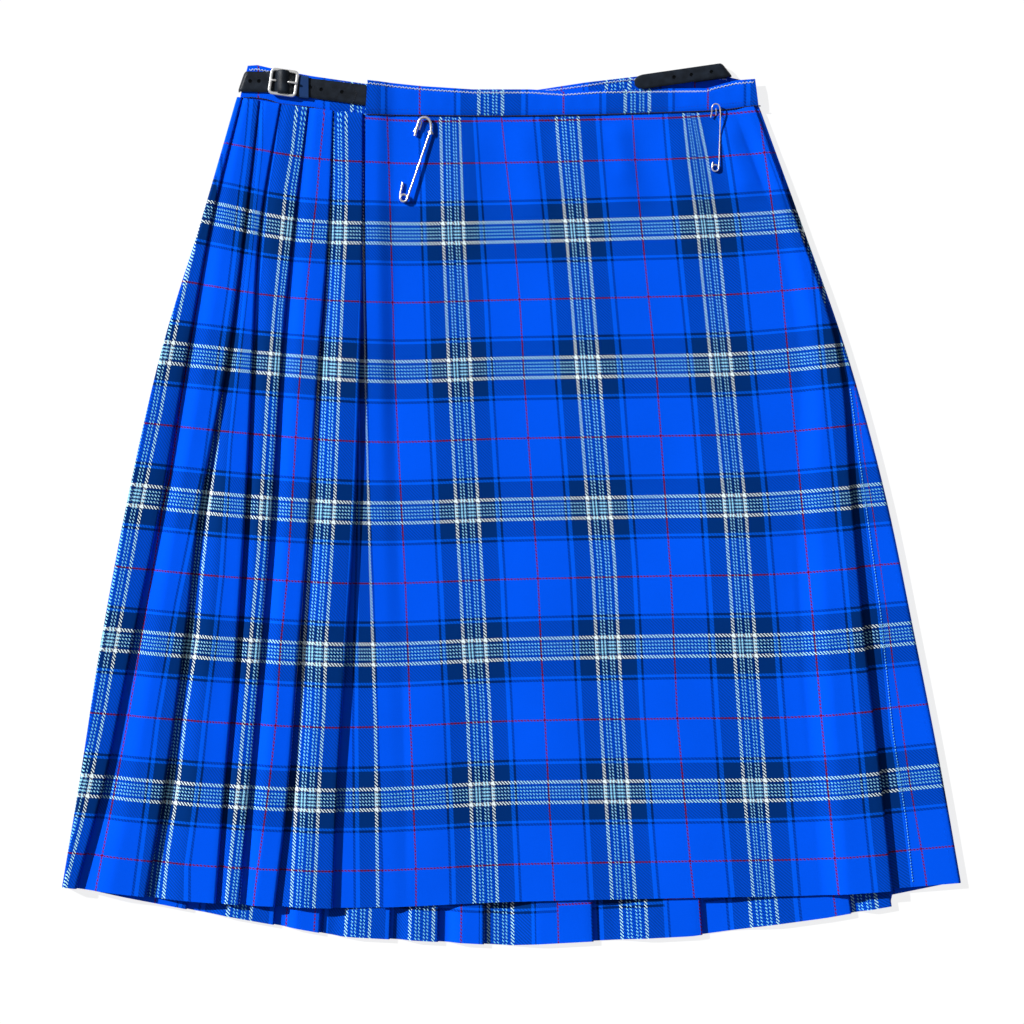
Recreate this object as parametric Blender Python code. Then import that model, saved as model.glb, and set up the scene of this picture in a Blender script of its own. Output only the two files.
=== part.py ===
"""A kilt skirt laid flat on the floor, front up.

The cloth is a tube of tartan that lies in layers: the pleated back on the floor, then the knife pleats of
the front left and the under apron, then the over apron. Every cloth piece is a wall that follows a folded
section. The section is worked out again at each drop below the waist seam, from the places of its fold
lines, and the sections are joined.

X runs across the kilt to the wearer's left, Y runs up to the waist and Z is up from the floor. Sizes are in
millimetres, and MM turns them into Blender's metres.
"""

import math

import bpy
import numpy as np

MM = 0.001

# The cloth and how it lies
WALL = 1.0  # thickness of the worsted cloth
GAP = 0.3  # air between two pieces that lie on each other
PRESSED_PITCH = WALL + GAP  # from one layer of a pleat to the next at the waist, where they are pressed
OPEN_PITCH = 2.0  # the same below the hips, where they are loose
OPEN_DROP = 170.0  # how far below the waist seam the pleats are fully open
FOLD_STEPS = 3  # flat facets round a fold
FOLD_DEPTH = 0.45  # share of a panel's width that is folded back under it
SMALLEST_DEPTH = 2.6  # of a fold that starts from nothing at the waist
SIDE_CORNER = 0.6  # chamfer where the cloth turns down a side
RAMP_MARGIN = 1.6  # flat cloth between a fold and the slope up to the next one

# Where the drawing's own origin lies in the finished part, so that the part's box is centred on zero
CENTRE_Y = -1.1

# One row for each drop below the waist seam: the kilt's left and right edge
EDGES = {
    # drop: (left, right)
    0: (-206.75, 186.0),
    88: (-231.4, 217.1),
    193: (-263.25, 252.0),
    298: (-287.6, 280.5),
    403: (-307.9, 302.25),
    508: (-324.75, 323.25),
    588: (-337.5, 337.5),
}
DROPS = tuple(EDGES)
HEM = DROPS[-1]
ROWS = (0, 44, 88, 140, 193, 298, 403, 508, 588)  # where sections are taken

# How the weft runs across the front. A station is a share of the width from the left edge
FRONT_STATIONS = (0.0, 0.15, 0.31, 0.5, 0.7, 0.85, 1.0)
FRONT_HEIGHTS = {
    0: (305.3, 296.6, 291.4, 291.0, 292.1, 293.6, 298.4),
    88: (219.4, 205.5, 202.5, 203.6, 205.9, 208.1, 212.3),
    193: (113.6, 105.4, 99.1, 101.5, 103.1, 105.0, 111.8),
    298: (6.8, -1.9, -7.1, -4.5, -2.3, -0.4, 6.8),
    403: (-101.3, -108.8, -113.3, -109.5, -106.9, -105.6, -97.9),
    508: (-210.8, -218.6, -222.6, -217.1, -215.6, -214.1, -205.1),
    588: (-287.6, -298.5, -303.4, -298.9, -295.9, -293.6, -286.1),
}

# The back hangs lower, so that a strip of it shows below the front
BACK_STATIONS = (0.0, 0.15, 0.31, 0.5, 0.7, 0.85, 0.921, 0.93, 1.0)
BACK_SEAM = (304.8, 295.1, 287.6, 286.5, 295.5, 300.4, 299.0, 298.8, 297.6)
BACK_HEM = (-287.0, -306.4, -325.5, -332.3, -325.1, -311.3, -302.6, -294.4, -283.9)

# The fold lines of the front left, from the side to the apron, at each drop. A fold's free edge points right
PLEAT_FOLDS = {
    "side": (-202.75, -224.1, -243.4, -262.0, -284.0, -306.0, -326.3),
    "second": (-189.75, -200.0, -213.0, -233.0, -245.6, -260.6, -274.1),
    "third": (-174.0, -188.8, -194.6, -199.5, -206.3, -215.9, -222.0),
    "fourth": (-153.0, -163.8, -173.0, -179.8, -188.0, -197.3, -204.0),
    "fifth": (-134.3, -137.8, -145.4, -152.1, -160.0, -168.5, -177.8),
    "sixth": (-112.0, -112.0, -114.2, -117.9, -124.4, -131.3, -134.3),
}

# The over apron: its free edge, its pleat at the right and how deep that pleat is
APRON_EDGE = (-109.9, -109.9, -107.9, -105.8, -102.2, -99.2, -98.3)
APRON_FOLD = (182.0, 213.1, 244.5, 254.3, 264.4, 276.8, 285.2)
APRON_FOLD_DEPTH = (2.6, 3.2, 12.0, 20.0, 24.0, 28.0, 30.0)
APRON_LIFT = (1.0, 1.0, 1.0, 0.5, 0.25, 0.15, 0.15)  # lift of the free edge, as a share of a pleat's rise
LIFT_FLAT = 8.0  # width of the lifted edge
LIFT_FADE = 22.0  # where the lift has run out
APRON_RAMP = 14.0  # length of the slope up to the apron's pleat
APRON_POINTS = 8  # across the flat of the apron
RECESS_LIFT = 2.8  # the panel behind the apron's pleat hangs that much shorter at the hem
RECESS_STEP = 4.0  # width in which the hem steps up to it
UNDER_APRON_START = 6.0  # to the right of the over apron's free edge
UNDER_APRON_END = 0.8  # share of the width
UNDER_APRON_POINTS = 9

# The inner fold lines of the back, as shares of the width
BACK_FOLDS = (0.138, 0.235, 0.2856, 0.3639, 0.4178, 0.4689, 0.5911, 0.7122, 0.8778, 0.9228)
BACK_RAMP = (0.4, 0.9)  # where the slope up to a fold starts and ends, between its two margins
BACK_INSET = WALL + 4 * GAP  # the back ends that far inside the turned sides of the front

# Waistbands
BAND_WALL = 1.5
APRON_BAND_END = 185.0  # its lower right corner
PLEAT_BAND_INSET = 2.7  # its lower left corner, from the kilt's edge
SEAM_GAP = 0.5  # between a waistband and the cloth below it

# Leather straps and their metal
STRAP_WALL = 1.8
STRAP_HOLE_RADIUS = 1.4
STRAP_HOLE_POINTS = 12
STRAP_HOLE_SPAN = (2.0, 10.0)  # heights between which a hole is cut
HIP_STRAP_WIDTH = 12.6
BUCKLE_SIZE = (22.4, 20.4)
BUCKLE_WIRE = 2.2
BUCKLE_CORNER = 5.5
BUCKLE_TURN = math.radians(-8.0)
BUCKLE_PLACE = (-171.3, 315.7)
BUCKLE_BAR = 1.5
BUCKLE_BAR_RISE = 0.3  # of the bar, over the underside of the frame
PRONG_LENGTH = 6.0
PRONG_WIDTH = 1.5
PRONG_WALL = 1.05
PRONG_REACH = 0.6  # past the outside of the frame
KEEPER_LEFT = -159.5
KEEPER_WIDTH = 6.8
KEEPER_WALL = 1.0

# The belt's path, from the left side to below the apron, as (x, rise over the flat strap)
BELT_FOOT = 0.9  # height at which it ends round the left side
BELT_CORNER = 0.8  # chamfer where it turns down there
BELT_PATH = ((-205.3, 0.0), (-182.5, 0.0), (-177.4, 0.4), (-174.9, 4.1), (-171.3, 5.2), (-167.7, 4.1),
             (-165.2, 0.4), (-161.0, 0.0), (-152.5, 0.0), (-113.2, 0.0))
BELT_TOP = ((-206.0, 322.9), (-182.5, 323.4), (-164.0, 320.9), (-152.5, 318.8), (-109.5, 315.4))
BELT_BOTTOM = ((-206.0, 309.2), (-182.5, 309.7), (-171.3, 308.4), (-164.0, 307.4), (-161.0, 305.8),
               (-152.5, 303.8), (-109.5, 298.5))
BELT_HOLES = (-196.5, -189.9, -151.4, -143.2, -127.7)

# The loose strap: where its tip and its turn lie, how long its turned end is, its holes and its rounded tip
HIP_STRAP_BENDS = (0.4, 0.7)  # further points along it, as shares of its length
HIP_STRAP_TURN_STEPS = 6
HIP_STRAP_PLACES = ((91.8, 314.6), (163.2, 323.6), 26.0)
HIP_STRAP_HOLES = (30.0, 43.1, 58.3)
HIP_STRAP_TIP = ((0.0, 0.30), (1.2, 0.66), (3.2, 0.9), (6.0, 1.0))  # along the strap, share of the width

# The pins. The stub is where the wire goes into the cloth and the tip is the end of the bent head
PINS = {
    "kilt_pin_large": {
        "wire": 1.6,
        "rests_at": 90.0,
        "coil": (-81.2, 229.0),
        "coil_radius": 3.5,
        "stub": (-82.2, 240.8),
        "shaft": (-61.9, 276.8),
        "head": (-66.3, 282.3),
        "head_radius": 6.6,
        "head_sweep": 2.7,
        "tip": (-73.4, 275.8),
    },
    "kilt_pin_small": {
        "wire": 1.0,
        "rests_at": 50.0,
        "coil": (152.5, 251.6),
        "coil_radius": 3.0,
        "stub": (151.5, 259.5),
        "shaft": (156.3, 294.7),
        "head": (152.8, 296.3),
        "head_radius": 3.4,
        "head_sweep": 3.3,
        "tip": (149.0, 289.6),
    },
}
PIN_LEAN = 0.3  # angle between the stub and the start of the coil, short of a right angle
PIN_TURN = 0.4  # how far the coil goes on after one full turn
PIN_SHAFT_SHARES = (0.34, 0.67, 1.0)  # points along the shaft
PIN_HEAD_RISE = 0.2  # of the head, over the stub
PIN_COIL_STEPS = 20
PIN_HEAD_STEPS = 8

# Finishes: colour, roughness, metallic
CLOTH = ((0.0, 0.10, 0.62, 1.0), 0.85, 0.0)
LEATHER = ((0.012, 0.014, 0.018, 1.0), 0.45, 0.0)
NAVY_TAPE = ((0.005, 0.03, 0.12, 1.0), 0.8, 0.0)
STEEL = ((0.72, 0.72, 0.73, 1.0), 0.2, 1.0)


def at_drop(column, drop):
    """The value of a column with one entry for each row of DROPS, read at any drop."""
    return float(np.interp(drop, DROPS, column))


def edges_at(drop):
    """Left and right edge of the kilt at a drop."""
    left = at_drop([EDGES[d][0] for d in DROPS], drop)
    right = at_drop([EDGES[d][1] for d in DROPS], drop)
    return left, right


def pitch_at(drop):
    """From the middle of one layer of a pleat to the middle of the next."""
    return PRESSED_PITCH + (OPEN_PITCH - PRESSED_PITCH) * min(drop / OPEN_DROP, 1.0)


def front_low(drop):
    """Underside of the lowest front layer, which lies on the three layers of the back pleats."""
    return WALL + 2 * pitch_at(drop) + GAP


def apron_rest(drop):
    """Underside of the over apron where it lies on the under apron."""
    return front_low(drop) + WALL + GAP


def share_at(x, drop):
    """Where x lies across the kilt, from 0 at the left edge to 1 at the right."""
    left, right = edges_at(drop)
    return (x - left) / (right - left)


def front_height(x, drop):
    """Y of the weft thread of the front that lies at this drop."""
    share = share_at(x, drop)
    heights = [float(np.interp(share, FRONT_STATIONS, FRONT_HEIGHTS[d])) for d in DROPS]
    return at_drop(heights, drop)


def back_height(x, drop):
    """Y of the weft thread of the back that lies at this drop."""
    share = share_at(x, drop)
    seam = float(np.interp(share, BACK_STATIONS, BACK_SEAM))
    hem = float(np.interp(share, BACK_STATIONS, BACK_HEM))
    return seam + (hem - seam) * drop / HEM


def fold_points(edge, low, pitch, turn_right):
    """Middle line of a half round fold, from the upper layer to the lower one.

    edge is the outermost x, to the right or to the left, and low the height of the lower layer's middle line.
    """
    side = 1.0 if turn_right else -1.0
    radius = pitch / 2
    centre_x = edge - side * (radius + WALL / 2)
    centre_z = low + radius
    points = []
    for step in range(FOLD_STEPS + 1):
        angle = math.pi * step / FOLD_STEPS
        points.append((centre_x + side * radius * math.sin(angle), centre_z + radius * math.cos(angle)))
    return points


def pleat_points(edge, depth, low, pitch):
    """Middle line of one knife pleat: over the top, back below itself, and out again on the lowest layer."""
    upper_turn = fold_points(edge, low + pitch, pitch, True)
    lower_turn = fold_points(edge - depth, low, pitch, False)
    return upper_turn + lower_turn


def offset_line(points, distance):
    """The line beside a section's middle line, with mitred corners."""
    line = np.array(points, float)
    steps = np.diff(line, axis=0)
    steps /= np.linalg.norm(steps, axis=1)[:, None]
    normals = np.stack([-steps[:, 1], steps[:, 0]], axis=1)
    before = np.vstack([normals[:1], normals])
    after = np.vstack([normals, normals[-1:]])
    mitre = before + after
    mitre /= np.linalg.norm(mitre, axis=1)[:, None]
    reach = distance / np.sum(mitre * before, axis=1)
    return line + mitre * reach[:, None]


def in_metres(point):
    """A point of the drawing, moved so that the finished part is centred."""
    x, y, z = point
    return x * MM, (y - CENTRE_Y) * MM, z * MM


def add_item(name, data, finish):
    """An object of the given mesh or curve, with a material of its own."""
    colour, roughness, metallic = finish
    material = bpy.data.materials.new(name + "_finish")
    material.use_nodes = True
    shader = material.node_tree.nodes["Principled BSDF"]
    shader.inputs["Base Color"].default_value = colour
    shader.inputs["Roughness"].default_value = roughness
    shader.inputs["Metallic"].default_value = metallic
    data.materials.append(material)
    item = bpy.data.objects.new(name, data)
    bpy.context.scene.collection.objects.link(item)
    return item


def add_object(name, vertices, faces, finish, smooth=False):
    """A mesh object from points of the drawing."""
    mesh = bpy.data.meshes.new(name)
    mesh.from_pydata([in_metres(point) for point in vertices], [], faces)
    mesh.validate()
    if smooth:
        mesh.shade_smooth()
        mesh.set_sharp_from_angle(angle=math.radians(40))
    return add_item(name, mesh, finish)


def add_wall(name, lines, finish):
    """A closed wall between an upper and a lower skin.

    lines holds one (upper, lower) pair for each row, and each skin is a list of points with the same number.
    """
    count = len(lines[0][0])
    vertices = []
    for upper, lower in lines:
        vertices.extend(upper)
        vertices.extend(lower)
    faces = []
    for row in range(len(lines) - 1):
        this = row * 2 * count
        below = this + 2 * count
        for i in range(count - 1):
            faces.append((this + i, below + i, below + i + 1, this + i + 1))
            lower_this = this + count + i
            lower_below = below + count + i
            faces.append((lower_this, lower_this + 1, lower_below + 1, lower_below))
        faces.append((this, this + count, below + count, below))
        last = count - 1
        faces.append((this + last, below + last, below + count + last, this + count + last))
    end = (len(lines) - 1) * 2 * count
    for i in range(count - 1):
        faces.append((i, i + 1, count + i + 1, count + i))
        faces.append((end + i, end + count + i, end + count + i + 1, end + i + 1))
    return add_object(name, vertices, faces, finish)


def add_cloth(name, section, height):
    """A piece of cloth from its folded section at each drop. height says how its weft runs."""
    lines = []
    for drop in ROWS:
        middle = section(drop)
        upper = [(x, height(x, drop), z) for x, z in offset_line(middle, WALL / 2)]
        lower = [(x, height(x, drop), z) for x, z in offset_line(middle, -WALL / 2)]
        lines.append((upper, lower))
    add_wall(name, lines, CLOTH)


def pleat_depth(edge, previous):
    """How far a pleat goes back below its own panel."""
    return max(SMALLEST_DEPTH, FOLD_DEPTH * (edge - previous))


def front_pleats_section(drop):
    """From the floor at the left side up and over, then pleat after pleat to below the over apron."""
    left, _ = edges_at(drop)
    pitch = pitch_at(drop)
    low = front_low(drop) + WALL / 2
    top = low + 2 * pitch
    side_x = left + WALL / 2
    points = [(side_x, 0.0), (side_x, top - SIDE_CORNER), (side_x + SIDE_CORNER, top)]
    previous = None
    for column in PLEAT_FOLDS.values():
        edge = at_drop(column, drop)
        depth = pleat_depth(edge, left if previous is None else previous)
        if previous is not None:
            points.append((previous + RAMP_MARGIN, low))
            points.append((edge - depth - RAMP_MARGIN, top))
        points.extend(pleat_points(edge, depth, low, pitch))
        previous = edge
    points.append((at_drop(APRON_EDGE, drop) + UNDER_APRON_START - GAP, low))
    return points


def under_apron_section(drop):
    """A plain panel, flat on the back pleats."""
    left, right = edges_at(drop)
    start = at_drop(APRON_EDGE, drop) + UNDER_APRON_START
    end = left + UNDER_APRON_END * (right - left)
    middle = front_low(drop) + WALL / 2
    return [(float(x), middle) for x in np.linspace(start, end, UNDER_APRON_POINTS)]


def apron_lift(x, drop):
    """How far the over apron stands off the under apron near its free edge."""
    from_edge = x - at_drop(APRON_EDGE, drop)
    fade = float(np.interp(from_edge, (LIFT_FLAT, LIFT_FADE), (1.0, 0.0)))
    return at_drop(APRON_LIFT, drop) * 2 * pitch_at(drop) * fade


def over_apron_section(drop):
    """From the free edge across the front, round the right pleat, and down the right side to the floor."""
    _, right = edges_at(drop)
    free_edge = at_drop(APRON_EDGE, drop)
    fold = at_drop(APRON_FOLD, drop)
    depth = at_drop(APRON_FOLD_DEPTH, drop)
    pitch = pitch_at(drop)
    low = front_low(drop) + WALL / 2
    rest = apron_rest(drop) + WALL / 2
    top = low + 2 * pitch
    ramp_end = fold - depth - RAMP_MARGIN
    points = []
    for from_edge in (0.0, LIFT_FLAT, LIFT_FADE):
        x = free_edge + from_edge
        points.append((x, rest + apron_lift(x, drop)))
    flat = np.linspace(free_edge + LIFT_FADE, ramp_end - APRON_RAMP, APRON_POINTS)
    points.extend((float(x), rest) for x in flat[1:])
    points.append((ramp_end, top))
    points.extend(pleat_points(fold, depth, low, pitch))
    side_x = right - WALL / 2
    points.extend([(side_x - SIDE_CORNER, low), (side_x, low - SIDE_CORNER), (side_x, 0.0)])
    return points


def over_apron_height(x, drop):
    """The apron's weft, which steps up on the panel behind its pleat."""
    beyond = x - at_drop(APRON_FOLD, drop)
    share = min(max(beyond / RECESS_STEP, 0.0), 1.0)
    return front_height(x, drop) + share * RECESS_LIFT * drop / HEM


def back_pleats_section(drop):
    """From the left side pleat after pleat to the right side, with the lowest layers flat on the floor."""
    left, right = edges_at(drop)
    pitch = pitch_at(drop)
    low = WALL / 2
    top = low + 2 * pitch
    start = left + BACK_INSET
    points = [(start, low)]
    previous = start
    for share in BACK_FOLDS:
        edge = left + share * (right - left)
        depth = pleat_depth(edge, previous)
        first = previous + RAMP_MARGIN
        last = edge - depth - RAMP_MARGIN
        ramp_start = first + BACK_RAMP[0] * (last - first)
        points.append(((points[-1][0] + ramp_start) / 2, low))
        points.append((ramp_start, low))
        points.append((first + BACK_RAMP[1] * (last - first), top))
        points.extend(pleat_points(edge, depth, low, pitch))
        previous = edge
    points.append((right - BACK_INSET, low))
    return points


def add_band(name, top_points, seam_ends, seam, seam_stations, level, wall):
    """A stretch of waistband: a strip between its seam and its top edge, which goes through top_points.

    seam_ends are the x values where the seam edge starts and ends. seam gives the cloth's height at x, with
    its bends at seam_stations, and level the underside.
    """
    left, right = edges_at(0)
    start, end = seam_ends
    top_start, top_end = top_points[0][0], top_points[-1][0]
    bends = [left + share * (right - left) for share in seam_stations]
    bends += [start + LIFT_FLAT, start + LIFT_FADE]
    shares = [(x - start) / (end - start) for x in bends]
    shares += [(x - top_start) / (top_end - top_start) for x, _ in top_points[1:-1]]
    shares = [0.0] + sorted(s for s in shares if 0.005 < s < 0.995) + [1.0]
    top = edge_line(top_points)
    top_edge = []
    seam_edge = []
    for share in shares:
        x = start + share * (end - start)
        top_x = top_start + share * (top_end - top_start)
        top_edge.append((top_x, top(top_x), level(x)))
        seam_edge.append((x, seam(x) + SEAM_GAP, level(x)))
    lines = []
    for edge in (top_edge, seam_edge):
        lines.append(([(x, y, z + wall) for x, y, z in edge], edge))
    add_wall(name, lines, CLOTH)


def build_cloth():
    """The four stretches of tartan cloth."""
    add_cloth("back_pleats", back_pleats_section, back_height)
    add_cloth("front_pleats", front_pleats_section, front_height)
    add_cloth("under_apron", under_apron_section, front_height)
    add_cloth("over_apron", over_apron_section, over_apron_height)


# Top edges of the waistbands, as (x, y) along each edge
APRON_BAND_TOP = ((-108.4, 317.6), (-69.3, 313.5), (-29.5, 310.9), (14.0, 310.9), (38.6, 309.2),
                  (103.5, 311.4), (146.3, 311.8), (167.3, 317.6), (182.5, 318.8))
PLEAT_BAND_TOP = ((-198.5, 328.9), (-191.3, 329.4), (-180.2, 326.8), (-150.8, 321.2), (-109.5, 315.2),
                  (-40.0, 309.4), (107.4, 309.0))
BACK_BAND_TOP = ((-200.0, 325.1), (-109.5, 313.1), (-46.5, 309.4), (16.5, 310.9), (55.5, 316.9),
                 (96.0, 321.6), (133.5, 324.0), (157.5, 322.1), (180.0, 317.0))


def edge_line(points):
    """A function of x through the points of an edge."""
    xs = [p[0] for p in points]
    ys = [p[1] for p in points]
    return lambda x: float(np.interp(x, xs, ys))


def build_waistbands():
    """The apron's band, the band of the pleats and under apron, and the band of the back."""
    left, right = edges_at(0)

    def front_seam(x):
        return front_height(x, 0)

    add_band(
        "waistband_apron",
        APRON_BAND_TOP,
        (at_drop(APRON_EDGE, 0), APRON_BAND_END),
        front_seam,
        FRONT_STATIONS,
        lambda x: apron_rest(0) + apron_lift(x, 0),
        BAND_WALL,
    )
    add_band(
        "waistband_pleats",
        PLEAT_BAND_TOP,
        (left + PLEAT_BAND_INSET, left + UNDER_APRON_END * (right - left)),
        front_seam,
        FRONT_STATIONS,
        lambda x: front_low(0),
        WALL,
    )
    add_band(
        "waistband_back",
        BACK_BAND_TOP,
        (BACK_BAND_TOP[0][0], BACK_BAND_TOP[-1][0]),
        lambda x: back_height(x, 0),
        BACK_STATIONS,
        lambda x: 0.0,
        BAND_WALL,
    )


def build_belt():
    """The strap from below the apron through the buckle and round the left side, with its fittings."""
    low = apron_rest(0) + STRAP_WALL / 2
    left_x = BELT_PATH[0][0]
    section = [(left_x, BELT_FOOT), (left_x, low - BELT_CORNER), (left_x + BELT_CORNER, low)]
    section += [(x, low + rise) for x, rise in BELT_PATH[1:]]
    upper_line = offset_line(section, STRAP_WALL / 2)
    lower_line = offset_line(section, -STRAP_WALL / 2)
    lines = []
    for edge in (BELT_TOP, BELT_BOTTOM):
        height = edge_line(edge)
        upper = [(x, height(x), z) for x, z in upper_line]
        lower = [(x, height(x), z) for x, z in lower_line]
        lines.append((upper, lower))
    strap = add_wall("belt_strap", lines, LEATHER)
    for x in BELT_HOLES:
        y = (edge_line(BELT_TOP)(x) + edge_line(BELT_BOTTOM)(x)) / 2
        punch(strap, x, y)
    add_buckle(low)
    add_keeper(low)


def hide_cutter(cutter):
    """Keeps a shape that only cuts or joins out of the finished part."""
    cutter.hide_render = True
    cutter.display_type = "WIRE"


def punch(item, x, y):
    """A round hole through a strap."""
    bottom, top = STRAP_HOLE_SPAN
    bpy.ops.mesh.primitive_cylinder_add(
        vertices=STRAP_HOLE_POINTS,
        radius=STRAP_HOLE_RADIUS * MM,
        depth=(top - bottom) * MM,
        location=in_metres((x, y, (bottom + top) / 2)),
    )
    cutter = bpy.context.object
    cutter.name = item.name + "_hole_cutter"
    hide_cutter(cutter)
    cut = item.modifiers.new("hole", "BOOLEAN")
    cut.operation = "DIFFERENCE"
    cut.object = cutter


def rounded_corners(width, height, radius, steps=4):
    """Points round a rectangle with round corners, against the clock."""
    points = []
    for turn, (side_x, side_y) in enumerate(((1, 1), (-1, 1), (-1, -1), (1, -1))):
        for step in range(steps + 1):
            angle = math.pi / 2 * (turn + step / steps)
            x = side_x * (width / 2 - radius) + radius * math.cos(angle)
            y = side_y * (height / 2 - radius) + radius * math.sin(angle)
            points.append((x, y))
    return points


def turned(point, place, angle):
    """A point turned about zero and moved to place."""
    x, y = point
    cos, sin = math.cos(angle), math.sin(angle)
    return place[0] + x * cos - y * sin, place[1] + x * sin + y * cos


def buckle_block(name, x_range, y_range, z_range):
    """A square block in the buckle's own turned frame."""
    corners = [(x_range[i], y_range[j]) for i, j in ((0, 0), (1, 0), (1, 1), (0, 1))]
    vertices = [(*turned(corner, BUCKLE_PLACE, BUCKLE_TURN), z) for z in z_range for corner in corners]
    sides = [(3, 2, 1, 0), (4, 5, 6, 7), (0, 1, 5, 4), (1, 2, 6, 5), (2, 3, 7, 6), (3, 0, 4, 7)]
    return add_object(name, vertices, sides, STEEL)


def add_buckle(strap_middle):
    """The rounded frame with its bar in one piece, and the prong that lies on it."""
    low = strap_middle + STRAP_WALL / 2 + GAP
    width, height = BUCKLE_SIZE
    outer = rounded_corners(width, height, BUCKLE_CORNER)
    inner = rounded_corners(width - 2 * BUCKLE_WIRE, height - 2 * BUCKLE_WIRE, BUCKLE_CORNER - BUCKLE_WIRE)
    count = len(outer)
    vertices = []
    for z in (low, low + BUCKLE_WIRE):
        for ring in (outer, inner):
            vertices.extend((*turned(p, BUCKLE_PLACE, BUCKLE_TURN), z) for p in ring)
    faces = []
    for i in range(count):
        j = (i + 1) % count
        faces.append((i, count + i, count + j, j))
        faces.append((2 * count + i, 2 * count + j, 3 * count + j, 3 * count + i))
        faces.append((i, j, 2 * count + j, 2 * count + i))
        faces.append((count + i, 3 * count + i, 3 * count + j, count + j))
    frame = add_object("buckle_frame", vertices, faces, STEEL, smooth=True)
    reach = height / 2 - BUCKLE_WIRE / 2
    bar_low = low + BUCKLE_BAR_RISE
    half = BUCKLE_BAR / 2
    bar = buckle_block("buckle_bar_cutter", (-half, half), (-reach, reach), (bar_low, bar_low + BUCKLE_BAR))
    hide_cutter(bar)
    join = frame.modifiers.new("bar", "BOOLEAN")
    join.operation = "UNION"
    join.object = bar
    prong_low = low + BUCKLE_WIRE + GAP
    prong_end = width / 2 + PRONG_REACH
    half = PRONG_WIDTH / 2
    prong_heights = (prong_low, prong_low + PRONG_WALL)
    buckle_block("buckle_prong", (prong_end - PRONG_LENGTH, prong_end), (-half, half), prong_heights)


def add_keeper(strap_middle):
    """The loop that holds the strap down beside the buckle: an arch over the strap, sewn to the waistband."""
    inner_top = strap_middle + STRAP_WALL / 2 + GAP
    foot = apron_rest(0)
    lines = []
    for x in (KEEPER_LEFT, KEEPER_LEFT + KEEPER_WIDTH):
        top_y = edge_line(BELT_TOP)(x) + GAP
        bottom_y = edge_line(BELT_BOTTOM)(x) - GAP
        outer = [(bottom_y - KEEPER_WALL, foot), (bottom_y - KEEPER_WALL, inner_top + KEEPER_WALL)]
        outer += [(top_y + KEEPER_WALL, inner_top + KEEPER_WALL), (top_y + KEEPER_WALL, foot)]
        inner = [(bottom_y, foot), (bottom_y, inner_top), (top_y, inner_top), (top_y, foot)]
        lines.append(([(x, y, z) for y, z in outer], [(x, y, z) for y, z in inner]))
    add_wall("belt_keeper", lines, NAVY_TAPE)


def build_hip_strap():
    """The loose strap: its tip lies on the apron's band, and it turns under and down to the back's band."""
    low_level = BAND_WALL + GAP + STRAP_WALL / 2
    high_level = apron_rest(0) + BAND_WALL + GAP + STRAP_WALL / 2
    tip, turn, tail = HIP_STRAP_PLACES
    radius = (high_level - low_level) / 2
    lines = []
    length = math.hypot(turn[0] - tip[0], turn[1] - tip[1])
    middle = [(along, high_level) for along, _ in HIP_STRAP_TIP]
    middle += [(length * share, high_level) for share in HIP_STRAP_BENDS]
    for step in range(HIP_STRAP_TURN_STEPS + 1):
        angle = math.pi * step / HIP_STRAP_TURN_STEPS
        along = length - radius + radius * math.sin(angle)
        middle.append((along, high_level - radius + radius * math.cos(angle)))
    middle.append((length - tail, low_level))
    widths = [wide for _, wide in HIP_STRAP_TIP]
    widths += [1.0] * (len(middle) - len(widths))
    upper_line = offset_line(middle, STRAP_WALL / 2)
    lower_line = offset_line(middle, -STRAP_WALL / 2)
    angle = math.atan2(turn[1] - tip[1], turn[0] - tip[0])
    for side in (1, -1):
        upper = []
        lower = []
        for i, wide in enumerate(widths):
            across = side * wide * HIP_STRAP_WIDTH / 2
            for target, source in ((upper, upper_line), (lower, lower_line)):
                along, z = source[i]
                target.append((*turned((along, across), tip, angle), z))
        lines.append((upper, lower))
    strap = add_wall("hip_strap", lines, LEATHER)
    for along in HIP_STRAP_HOLES:
        punch(strap, *turned((along, 0.0), tip, angle))


def add_wire(name, points, radius):
    """A round steel wire through its points, with closed ends."""
    curve = bpy.data.curves.new(name, "CURVE")
    curve.dimensions = "3D"
    curve.bevel_depth = radius * MM
    curve.bevel_resolution = 2
    curve.use_fill_caps = True
    spline = curve.splines.new("POLY")
    spline.points.add(len(points) - 1)
    for place, point in zip(spline.points, points):
        place.co = (*in_metres(point), 1.0)
    add_item(name, curve, STEEL)


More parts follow.
